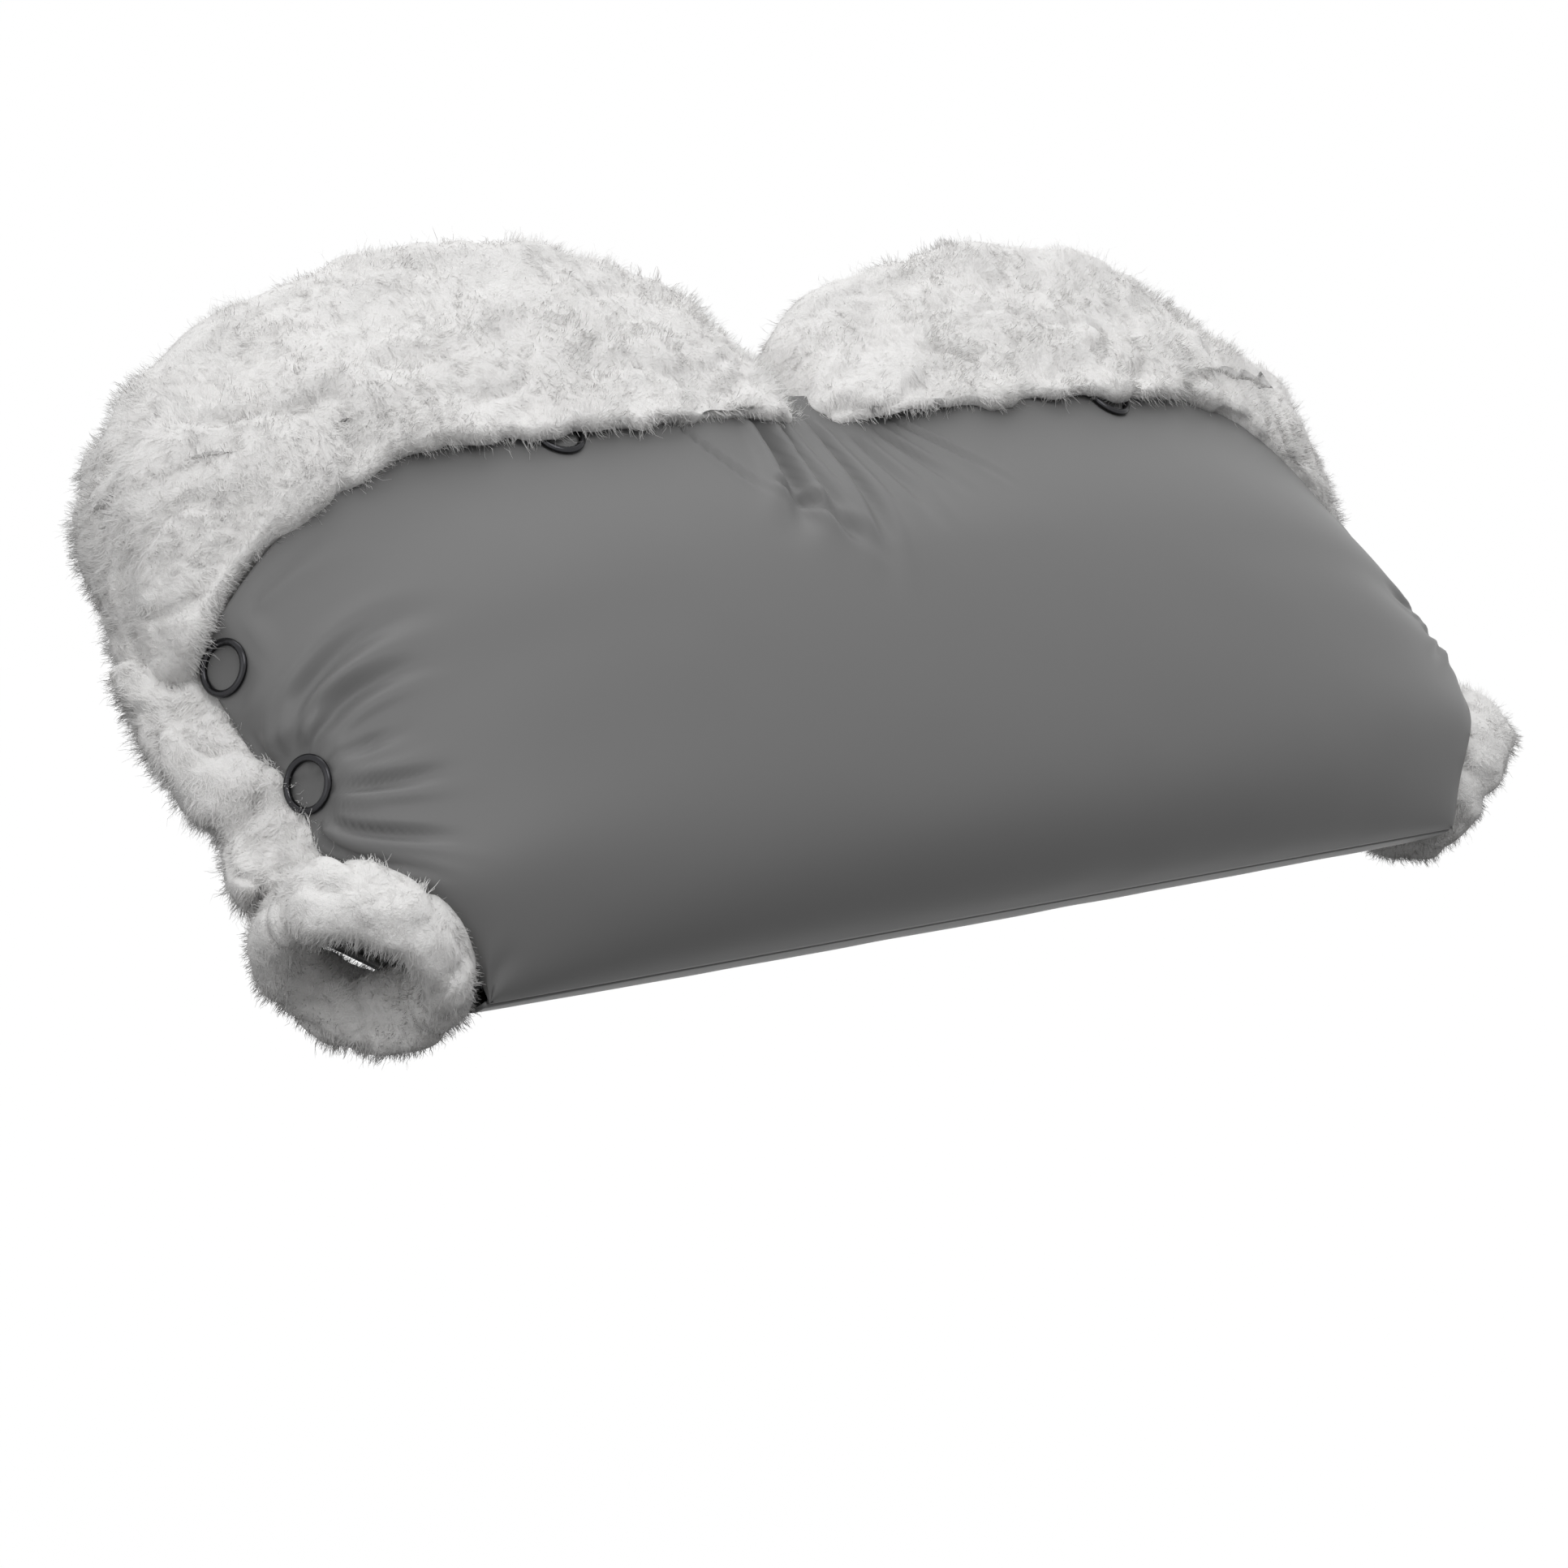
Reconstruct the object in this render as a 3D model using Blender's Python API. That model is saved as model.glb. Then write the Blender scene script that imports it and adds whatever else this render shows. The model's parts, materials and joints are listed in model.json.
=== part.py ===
"""Padded hand muff for the crossbar of a pram handle, in metres, +Z up.

The muff is a front panel and a rear panel that meet in a seam below the bar.
Press studs close them above the bar and at both sides, each hand goes in at the
top through its own wool cuff, and the arms of the handle leave at the lower corners.

Origin: centre of the crossbar. +X runs along the bar, -Y is the front.
Shapes are worked out in the muff's own leaning coordinates:
x along the bar, rise up the panels and depth out of the front panel.
"""

import bmesh
import bpy
import numpy as np
from math import radians
from mathutils import Vector
from mathutils.bvhtree import BVHTree

# Driving dimensions of the whole muff
LEAN = radians(34.0)           # how far the panels lean back from upright
BAR_SETBACK = 0.018            # the bar's centre behind the plane that depths start from
HALF_WIDTH = 0.254             # middle to the side hem
SEAM_DROP = 0.085              # bottom seam below the bar
HEM_RISE = 0.100               # top hem above the bar
SEAM_SETBACK = 0.010           # bottom seam behind that plane
FRONT_CROWN = 0.046            # crown of the front panel in front of the seam
REAR_CROWN = 0.068             # crown of the rear panel behind the seam
FRONT_HEM_SETBACK = 0.026      # top of the front panel's side hem behind the seam
REAR_HEM_SETBACK = 0.052
CORNER_DROP = 0.053            # top hem falls this far at the side hems

# Layers of a panel, from the outside in
FABRIC = 0.0014
WADDING = 0.0040
LINING = 0.0085
GAP = 0.0003                   # clearance between pieces that touch
SEAM_CLEARANCE = 0.0006        # between the front half and the rear half

# Gathers
CENTER_PINCH = 0.008           # the centre stud draws the top hem back
CENTER_PINCH_WIDTH = 0.038
SIDE_PINCH_SHARE = 0.020       # the side studs draw the side hems in

# Hand openings, their bands and their wool cuffs
OPENING_CENTER = 0.130         # middle of the muff to the middle of an opening
OPENING_HALF_LENGTH = 0.120
BAND_HEIGHT = 0.018
BAND_INSET = 0.0053            # bands behind the front panel's face
SIDE_WALL_INSET = 0.0073       # side walls behind it, clear of the studs that slide past
BAND = 0.0016                  # thickness of the bands, side walls and cuff skins
CUFF_FRONT_HEIGHT = 0.068
CUFF_REAR_HEIGHT = 0.046
RIGHT_CUFF_SHARE = 0.88        # the right cuff stands lower in front than the left one
CUFF_INNER_END_HEIGHT = 0.019
CUFF_OUTER_END_HEIGHT = 0.021
WOOL_OUTSIDE = 0.0090          # wool outside the cuff's skin
WOOL_INSIDE = 0.0100
WOOL_ABOVE = 0.0120            # wool above the skin's top edge
CUFF_SEAT = 0.0006             # cuffs stand this far above the hems
SKIN_SEAT = 0.0010             # top edge of a cuff's skin below the wool over it
CORNER_SEAT = 0.0014           # corner wool above the dropped hems
CUFF_PIVOT_DROP = 0.0080       # cuff hinge below the top hem
CUFF_PIVOT_BACK = 0.0010       # cuff hinge behind the rear panel's face

# Wool at the sides and round the arms of the handle
SIDE_WOOL = 0.0240             # how far the side roll stands out
SIDE_WOOL_EDGE = 0.0020        # its thickness at its two edges
CORNER_WOOL = 0.0170           # wool wall above the dropped corners, at its thickest
CORNER_WOOL_EDGE = 0.0030
ARM_CUFF_HALF_THICKNESS = 0.0065
ARM_CUFF_HALF_LENGTH = 0.0110  # along the arm
ARM_CUFF_RING = 0.0220         # radius of the ring that the roll follows
ARM_CUFF_X = 0.2474            # centre of that ring
ARM_CUFF_RISE = -0.0640
ARM_CUFF_DEPTH = -0.0250
ARM_CUFF_TILT = radians(42.0)  # the ring faces down and outwards

# Centre tab
TAB_HALF_WIDTH = 0.0088
TAB_BELOW_STUD = 0.0085
TAB_ABOVE_STUD = 0.0080

# Ring press studs
STUD_BELOW_HEM = 0.0112        # centre and middle studs below the top hem
CAP_OUTER = 0.0088
CAP_INNER = 0.0066
CAP_HEIGHT = 0.0018
SOCKET_RADIUS = 0.0070
SOCKET_MOUTH = 0.0058
SOCKET_HOLE = 0.0026
SOCKET_PLATE = 0.0007
SOCKET_HEIGHT = 0.0021
STUD_RADIUS = 0.0062
STUD_FLANGE = 0.0007
STUD_HEAD = 0.0022
STUD_HOLE = 0.0011
STUD_HEAD_HEIGHT = 0.0009
BACK_RADIUS = 0.0050
BACK_HOLE = 0.0020
BACK_HEIGHT = 0.0008

HINGE_BELOW_SEAM = 0.0020      # the front panel turns about a line just below the seam

# Shares: unit shapes that the sizes above scale
FRONT_PLAN_SHARES = [
    (1.000, 0.00), (1.000, 0.13), (0.993, 0.26), (0.966, 0.375), (0.905, 0.51),
    (0.800, 0.68), (0.650, 0.83), (0.450, 0.94), (0.220, 0.988),
]
REAR_PLAN_SHARES = [
    (1.000, 0.00), (0.994, 0.16), (0.965, 0.34), (0.905, 0.53), (0.800, 0.71),
    (0.650, 0.86), (0.450, 0.95), (0.220, 0.99),
]
OPENING_ROUNDNESS = 3.0
FRONT_PROFILE_SHARES = [
    (0.000, 0.00), (0.006, 0.20), (0.030, 0.47), (0.090, 0.75), (0.220, 0.94),
    (0.420, 1.00), (0.620, 0.92), (0.760, 0.74), (0.860, 0.58), (1.000, 0.41),
]
REAR_PROFILE_SHARES = [
    (0.000, 0.00), (0.006, 0.14), (0.030, 0.31), (0.090, 0.52), (0.220, 0.72),
    (0.420, 0.85), (0.620, 0.93), (0.820, 0.98), (1.000, 1.00),
]
NOTCH_WIDTH_SHARE = 0.133      # the panels are this much narrower at the bottom seam
NOTCH_HEIGHT_SHARE = 0.45
CUFF_ARCH_SHARES = [           # height of a cuff from its inner end to its outer end
    (-1.00, 0.00), (-0.95, 0.22), (-0.88, 0.42), (-0.75, 0.63), (-0.50, 0.86), (-0.20, 0.985),
    (0.00, 1.00), (0.25, 0.94), (0.55, 0.73), (0.85, 0.42), (0.95, 0.22), (1.00, 0.00),
]
SEAM_SHARE = 0.30              # the halves meet in the seam's plane up to this height
SIDE_WALL_REACH_SHARE = 1.22   # how far up the last row of facets the side walls go
CORNER_POWER = 5
FRONT_SETBACK_POWER = 1.5
REAR_SETBACK_POWER = 0.4
SIDE_STUD_SHARE = 0.55         # height of the side studs up the side hem
CORNER_STUD_SHARE = 0.92
MIDDLE_STUD_SHARE = 0.96       # place of a middle stud, as a share of OPENING_CENTER
PLAN_DEPTH_SHARE = 0.25        # depth of a panel's plan for spacing its grid lines

# Faceting
COLUMN_SHARES = [              # grid lines from a side hem to the middle, as a share of the width
    0.000, 0.083, 0.118, 0.165, 0.220, 0.285, 0.365, 0.440, 0.520, 0.585,
    0.665, 0.745, 0.820, 0.890, 0.962,
]
HEM_COLUMNS = 2                # wadding and lining leave these out
ROW_SHARES = [
    0.000, 0.012, 0.045, 0.100, 0.180, 0.270, 0.360, 0.410, 0.465, 0.635, 0.750, 0.860, 1.000,
]
HEM_ROWS = 1
SIDE_WALL_ROW = 7              # the side walls start at this row
SPLINE_SAMPLES = 400
RING_STEPS = 32
ARC_STEPS = 4
ARM_CUFF_STEPS = 9
ARM_CUFF_SIDES = 8
STUD_SIDES = 16
SIDE_WOOL_STEPS = 7
CORNER_WOOL_STEPS = 15         # of the same angles as RING_STEPS
CORNER_WOOL_LEVELS = 4
ROLL_POWER = 0.6
SHARP_ANGLE = radians(40.0)

FRONT = {
    "direction": 1.0,
    "profile_shares": FRONT_PROFILE_SHARES, "plan_shares": FRONT_PLAN_SHARES,
    "crown": FRONT_CROWN, "hem_setback": FRONT_HEM_SETBACK,
}
REAR = {
    "direction": -1.0,
    "profile_shares": REAR_PROFILE_SHARES, "plan_shares": REAR_PLAN_SHARES,
    "crown": REAR_CROWN, "hem_setback": REAR_HEM_SETBACK,
}


def place(x, rise, depth):
    """Leaning coordinates to Blender's."""
    x, rise, depth = np.broadcast_arrays(x, rise, np.add(depth, BAR_SETBACK))
    y = rise * np.sin(LEAN) - depth * np.cos(LEAN)
    z = rise * np.cos(LEAN) + depth * np.sin(LEAN)
    return np.stack([x, y, z], axis=-1)


def place_points(points):
    return place(points[..., 0], points[..., 1], points[..., 2])


def smooth_step(share):
    share = np.clip(share, 0.0, 1.0)
    return share * share * (3.0 - 2.0 * share)


def spline(points, at):
    """Natural cubic through points, read at shares of its chord length."""
    points = np.array(points, dtype=float)
    steps = np.linalg.norm(np.diff(points, axis=0), axis=1)
    knots = np.concatenate([[0.0], np.cumsum(steps)])
    count = len(points)
    matrix = np.eye(count)
    right = np.zeros_like(points)
    slopes = np.diff(points, axis=0) / steps[:, None]
    for i in range(1, count - 1):
        matrix[i, i - 1:i + 2] = steps[i - 1], 2.0 * (steps[i - 1] + steps[i]), steps[i]
        right[i] = 6.0 * (slopes[i] - slopes[i - 1])
    bends = np.linalg.solve(matrix, right)
    where = np.clip(at, 0.0, 1.0) * knots[-1]
    k = np.clip(np.searchsorted(knots, where, side="right") - 1, 0, count - 2)
    h = steps[k][..., None]
    a = ((knots[k + 1] - where)[..., None]) / h
    b = 1.0 - a
    cubic = ((a ** 3 - a) * bends[k] + (b ** 3 - b) * bends[k + 1]) * h * h / 6.0
    return a * points[k] + b * points[k + 1] + cubic


def middle_profile(half, at):
    """Rise and depth up the middle of a panel, before any gather."""
    height = SEAM_DROP + HEM_RISE
    points = [
        (-SEAM_DROP + height * rise_share,
         -SEAM_SETBACK + half["direction"] * half["crown"] * depth_share)
        for rise_share, depth_share in half["profile_shares"]
    ]
    return spline(points, at)


def plan_line(half, across):
    """Shares of width and depth across a panel, from its right side hem to its left."""
    right = half["plan_shares"]
    left = [(-x_share, depth_share) for x_share, depth_share in right[::-1]]
    return spline(right + [(0.0, 1.0)] + left, across)


def plan_depth_share(half, reach):
    line = plan_line(half, np.linspace(0.0, 0.5, SPLINE_SAMPLES))
    line[:, 0] = np.minimum.accumulate(line[:, 0])
    return np.interp(np.clip(reach, 0.0, 1.0), line[::-1, 0], line[::-1, 1])


def top_hem(x):
    return HEM_RISE - CORNER_DROP * (np.abs(x) / HALF_WIDTH) ** CORNER_POWER


def side_width(height_share):
    """Half width of a panel at a share of its height, notched for the arms."""
    notch = NOTCH_WIDTH_SHARE * (1.0 - smooth_step(height_share / NOTCH_HEIGHT_SHARE))
    pinch_reach_share = 0.07
    reach = (height_share - SIDE_STUD_SHARE) / pinch_reach_share
    pinch = SIDE_PINCH_SHARE * np.exp(-reach ** 2)
    return HALF_WIDTH * (1.0 - notch - pinch)


def hem_depth(half, height_share):
    """Depth of the side hem, which steps aside for the arm of the handle."""
    height_share = np.clip(height_share, 0.0, 1.0)
    if half["direction"] > 0.0:
        arm_share, arm_reach_share, arm_bulge_share = 0.20, 0.12, 0.45
        arm = arm_bulge_share * np.exp(-((height_share - arm_share) / arm_reach_share) ** 2)
        setback = height_share ** FRONT_SETBACK_POWER - arm
    else:
        setback = height_share ** REAR_SETBACK_POWER
    return -SEAM_SETBACK - half["hem_setback"] * setback


def gather(half, x, height_share):
    """Depth that the centre stud takes off the front panel."""
    if half["direction"] < 0.0:
        return 0.0
    ramp_start_share = 0.60
    ramp = smooth_step((height_share - ramp_start_share) / (1.0 - ramp_start_share))
    return -CENTER_PINCH * np.exp(-(x / CENTER_PINCH_WIDTH) ** 2) * ramp


def panel_surface(half, across, at):
    """Outer face of a panel: from its right side hem to its left, and up from the seam."""
    middle = middle_profile(half, at)
    height_share = (middle[..., 0] + SEAM_DROP) / (HEM_RISE + SEAM_DROP)
    plan = plan_line(half, across)
    x = side_width(height_share) * plan[..., 0]
    rise = -SEAM_DROP + (top_hem(x) + SEAM_DROP) * height_share
    hem = hem_depth(half, height_share)
    depth = hem + (middle[..., 1] - hem) * plan[..., 1] + gather(half, x, height_share)
    depth = depth + half["direction"] * SEAM_CLEARANCE / 2.0
    return np.stack(np.broadcast_arrays(x, rise, depth), axis=-1)


def panel_normals(half, across, at):
    """Unit normals out of the muff, in leaning coordinates."""
    step_share = 0.002
    sides = [np.clip(across + step, 0.0, 1.0) for step in (-step_share, step_share)]
    levels = [np.clip(at + step, 0.0, 1.0) for step in (-step_share, step_share)]
    along = panel_surface(half, sides[1], at) - panel_surface(half, sides[0], at)
    up = panel_surface(half, across, levels[1]) - panel_surface(half, across, levels[0])
    normal = np.cross(up, along) * half["direction"]
    normal /= np.linalg.norm(normal, axis=-1, keepdims=True)
    at_seam = np.broadcast_to(at, normal.shape[:-1]) <= 0.0
    normal[at_seam] = (0.0, -1.0, 0.0)
    return normal


def panel_offset(half, across, at, inwards):
    """Surface inside a panel's outer face, which low down stays on its side of the seam."""
    points = panel_surface(half, across, at) - panel_normals(half, across, at) * inwards
    direction = half["direction"]
    seam = -SEAM_SETBACK * direction + SEAM_CLEARANCE / 2.0
    kept = direction * np.maximum(points[..., 2] * direction, seam)
    low = np.broadcast_to(at, kept.shape) < row_at(half, SEAM_SHARE)
    points[..., 2] = np.where(low, kept, points[..., 2])
    return points


def row_at(half, height_share):
    """Place up a panel's profile at which it reaches a share of its height."""
    places = np.linspace(0.0, 1.0, SPLINE_SAMPLES)
    rise = middle_profile(half, places)[:, 0]
    return np.interp(height_share, (rise + SEAM_DROP) / (HEM_RISE + SEAM_DROP), places)


def depth_at(half, x, rise):
    """Depth of a panel's outer face above or below a point of the bar."""
    height_share = np.clip((rise + SEAM_DROP) / (top_hem(x) + SEAM_DROP), 0.0, 1.0)
    middle_depth = middle_profile(half, row_at(half, height_share))[..., 1]
    hem = hem_depth(half, height_share)
    crown = plan_depth_share(half, np.abs(x) / side_width(height_share))
    return hem + (middle_depth - hem) * crown + gather(half, x, height_share)


def across_at(half, x, height_share):
    """Place across a panel at which it reaches x."""
    places = np.linspace(0.0, 1.0, 2 * SPLINE_SAMPLES)
    line = plan_line(half, places)[:, 0]
    return float(np.interp(-x / side_width(height_share), -line, places))


def make_object(name, vertices, faces, material, pivot=None):
    mesh = bpy.data.meshes.new(name)
    mesh.from_pydata([tuple(v) for v in np.asarray(vertices)], [], faces)
    body = bmesh.new()
    body.from_mesh(mesh)
    bmesh.ops.recalc_face_normals(body, faces=body.faces)
    body.to_mesh(mesh)
    body.free()
    mesh.shade_smooth()
    mesh.set_sharp_from_angle(angle=SHARP_ANGLE)
    mesh.materials.append(material)
    item = bpy.data.objects.new(name, mesh)
    bpy.context.collection.objects.link(item)
    if pivot is not None:
        mesh.transform(pivot.matrix_world.inverted())
        item.parent = pivot
    return item


def grid_faces(rows, columns, start, wrap_rows=False, wrap_columns=False):
    """Triangles over a grid of points, every cell cut along the same diagonal."""
    faces = []
    for r in range(rows if wrap_rows else rows - 1):
        for c in range(columns if wrap_columns else columns - 1):
            next_r, next_c = (r + 1) % rows, (c + 1) % columns
            a, b = start + r * columns + c, start + r * columns + next_c
            d, e = start + next_r * columns + c, start + next_r * columns + next_c
            faces += [(a, b, e), (a, e, d)]
    return faces


def slab(name, outside, inside, material, pivot=None):
    """Closed plate between two grids of points with the same rows and columns."""
    rows, columns = outside.shape[:2]
    size = rows * columns
    vertices = np.concatenate([outside.reshape(-1, 3), inside.reshape(-1, 3)])
    faces = grid_faces(rows, columns, 0)
    faces += [face[::-1] for face in grid_faces(rows, columns, size)]
    rim = [c for c in range(columns)]
    rim += [r * columns + columns - 1 for r in range(1, rows)]
    rim += [(rows - 1) * columns + c for c in range(columns - 2, -1, -1)]
    rim += [r * columns for r in range(rows - 2, 0, -1)]
    for a, b in zip(rim, rim[1:] + rim[:1]):
        faces += [(b, a, size + a), (b, size + a, size + b)]
    return make_object(name, vertices, faces, material, pivot)


def tube(name, sections, material, pivot=None, closed=True):
    """Solid swept through sections, each a loop of points, as a ring or with two ends."""
    steps, sides = sections.shape[:2]
    faces = grid_faces(steps, sides, 0, wrap_rows=closed, wrap_columns=True)
    vertices = sections.reshape(-1, 3)
    if not closed:
        ends = sections[[0, -1]].mean(axis=1)
        first, last = len(vertices), len(vertices) + 1
        vertices = np.concatenate([vertices, ends])
        base = (steps - 1) * sides
        for c in range(sides):
            n = (c + 1) % sides
            faces += [(first, n, c), (last, base + c, base + n)]
    return make_object(name, vertices, faces, material, pivot)


def pivot_at(name, rise, depth):
    pivot = bpy.data.objects.new(name, None)
    pivot.location = place(0.0, rise, depth).tolist()
    bpy.context.collection.objects.link(pivot)
    bpy.context.view_layer.update()
    return pivot


def make_material(name, color, roughness, metallic=0.0):
    material = bpy.data.materials.new(name)
    material.use_nodes = True
    shader = material.node_tree.nodes["Principled BSDF"]
    shader.inputs["Base Color"].default_value = (*color, 1.0)
    shader.inputs["Roughness"].default_value = roughness
    shader.inputs["Metallic"].default_value = metallic
    material.diffuse_color = (*color, 1.0)
    return material


def shell_fabric(name):
    return make_material(name, (0.19, 0.19, 0.19), 0.42)


def wool(name):
    return make_material(name, (0.72, 0.72, 0.72), 0.95)


def white_felt(name):
    return make_material(name, (0.62, 0.62, 0.61), 0.90)


def black_nickel(name):
    return make_material(name, (0.06, 0.06, 0.065), 0.28, 1.0)


def panel_columns(half):
    """Places of the grid lines across a panel."""
    places = np.linspace(0.0, 0.5, SPLINE_SAMPLES)
    line = plan_line(half, places)
    line[:, 0] *= HALF_WIDTH
    line[:, 1] *= HALF_WIDTH * PLAN_DEPTH_SHARE
    steps = np.linalg.norm(np.diff(line, axis=0), axis=1)
    lengths = np.concatenate([[0.0], np.cumsum(steps)])
    right = np.interp(np.array(COLUMN_SHARES) * lengths[-1], lengths, places)
    return np.concatenate([right, (1.0 - right)[::-1]])


def panel_rows(half):
    return row_at(half, np.array(ROW_SHARES))


def layer(name, half, columns, rows, outer, inner, material, pivot=None):
    grid = columns[None, :], rows[:, None]
    outside = panel_offset(half, *grid, outer)
    inside = panel_offset(half, *grid, inner)
    return slab(name, place_points(outside), place_points(inside), material, pivot)


def build_panel(prefix, half, pivot=None):
    """Shell over the whole panel, wadding and lining inside its hems."""
    columns, rows = panel_columns(half), panel_rows(half)
    inset_columns = columns[HEM_COLUMNS:-HEM_COLUMNS]
    inset_rows = rows[:-HEM_ROWS]
    wadding_start = FABRIC + GAP
    lining_start = wadding_start + WADDING + GAP
    shell = layer(prefix + "_shell", half, columns, rows, 0.0, FABRIC,
                  shell_fabric("water repellent fabric " + prefix), pivot)
    layer(prefix + "_wadding", half, inset_columns, inset_rows,
          wadding_start, wadding_start + WADDING, white_felt("wadding " + prefix), pivot)
    layer(prefix + "_lining", half, inset_columns, inset_rows,
          lining_start, lining_start + LINING, wool("wool lining " + prefix), pivot)
    return shell


def opening_loop(side, angle, rise):
    """Plan of a hand opening's band: just inside the front and rear panels."""
    roundness = 2.0 / OPENING_ROUNDNESS
    swing, spread = np.cos(angle), np.sin(angle)
    x = OPENING_CENTER + OPENING_HALF_LENGTH * np.sign(swing) * np.abs(swing) ** roundness
    front = depth_at(FRONT, x, rise) - BAND_INSET
    rear = depth_at(REAR, x, rise) + FABRIC + GAP + SEAM_CLEARANCE
    ends_x = OPENING_CENTER + OPENING_HALF_LENGTH * np.array([-1.0, 1.0])
    ends = (depth_at(FRONT, ends_x, rise_of_ends()) + depth_at(REAR, ends_x, rise_of_ends())) / 2.0
    middle = np.interp(x, ends_x, ends)
    reach = np.abs(spread) ** roundness
    depth = np.where(spread > 0.0, middle + (front - middle) * reach,
                     middle + (rear - middle) * reach)
    return np.stack([side * x, depth], axis=-1)


def rise_of_ends():
    return np.array([HEM_RISE, HEM_RISE])


def loop_outwards(loop, side):
    """Unit vectors out of a closed plan loop."""
    along = np.roll(loop, -1, axis=0) - np.roll(loop, 1, axis=0)
    along /= np.linalg.norm(along, axis=-1, keepdims=True)
    return np.stack([along[:, 1], -along[:, 0]], axis=-1) * side


def ring_angles():
    return np.linspace(0.0, 2.0 * np.pi, RING_STEPS, endpoint=False)


def wall_sections(side, layers):
    """Loops of points round an opening from (plan, outwards, rise) rows of one section."""
    points = []
    for plan, outwards, shift, rise in layers:
        moved = plan + outwards * np.reshape(shift, (-1, 1))
        points.append(place(moved[:, 0], rise, moved[:, 1]))
    return np.stack(points, axis=1)


def build_band(name, side):
    """Fabric band round a hand opening, between the front and the rear hem."""
    angle = ring_angles()
    top = HEM_RISE + GAP
    bottom = HEM_RISE - BAND_HEIGHT
    high = opening_loop(side, angle, HEM_RISE)
    low = opening_loop(side, angle, bottom)
    high_out, low_out = loop_outwards(high, side), loop_outwards(low, side)
    sections = wall_sections(side, [
        (low, low_out, -BAND, bottom), (low, low_out, 0.0, bottom),
        (high, high_out, 0.0, top), (high, high_out, -BAND, top),
    ])
    return tube(name, sections, white_felt("band " + name))


def cuff_height(angle, side):
    """Height of a cuff round its opening: tall in front, lower behind and at its ends."""
    front = CUFF_FRONT_HEIGHT * (RIGHT_CUFF_SHARE if side > 0.0 else 1.0)
    roundness = 2.0 / OPENING_ROUNDNESS
    reach = np.sign(np.cos(angle)) * np.abs(np.cos(angle)) ** roundness
    arch = np.interp(reach, *np.array(CUFF_ARCH_SHARES).T)
    end = np.where(reach > 0.0, CUFF_OUTER_END_HEIGHT, CUFF_INNER_END_HEIGHT)
    full = np.where(np.sin(angle) > 0.0, front, CUFF_REAR_HEIGHT)
    return end + (full - end) * arch


def build_cuff(name, side, pivot):
    """Skin wall with wool turned over it, outside and inside."""
    angle = ring_angles()
    loop = opening_loop(side, angle, HEM_RISE)
    outwards = loop_outwards(loop, side)
    base = HEM_RISE + CUFF_SEAT + GAP
    top = base + cuff_height(angle, side)
    skin_top = top - WOOL_ABOVE
    skin = wall_sections(side, [
        (loop, outwards, -BAND, base), (loop, outwards, 0.0, base),
        (loop, outwards, 0.0, skin_top - SKIN_SEAT), (loop, outwards, -BAND, skin_top - SKIN_SEAT),
    ])
    tube(name + "_skin", skin, white_felt("sheepskin " + name), pivot)
    outer, inner = WOOL_OUTSIDE + GAP, -BAND - GAP - WOOL_INSIDE
    middle, half_wall = (outer + inner) / 2.0, (outer - inner) / 2.0
    crown = np.minimum(half_wall, WOOL_ABOVE)
    rows = [(loop, outwards, outer, base)]
    for step in range(ARC_STEPS + 1):
        turn = np.pi * step / ARC_STEPS
        rows.append((loop, outwards, middle + half_wall * np.cos(turn),
                     top - crown + crown * np.sin(turn)))
    rows += [
        (loop, outwards, inner, base),
        (loop, outwards, -BAND - GAP, base),
        (loop, outwards, -BAND - GAP, skin_top),
        (loop, outwards, GAP, skin_top),
        (loop, outwards, GAP, base),
    ]
    return tube(name + "_wool", wall_sections(side, rows), wool("wool " + name), pivot)


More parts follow.
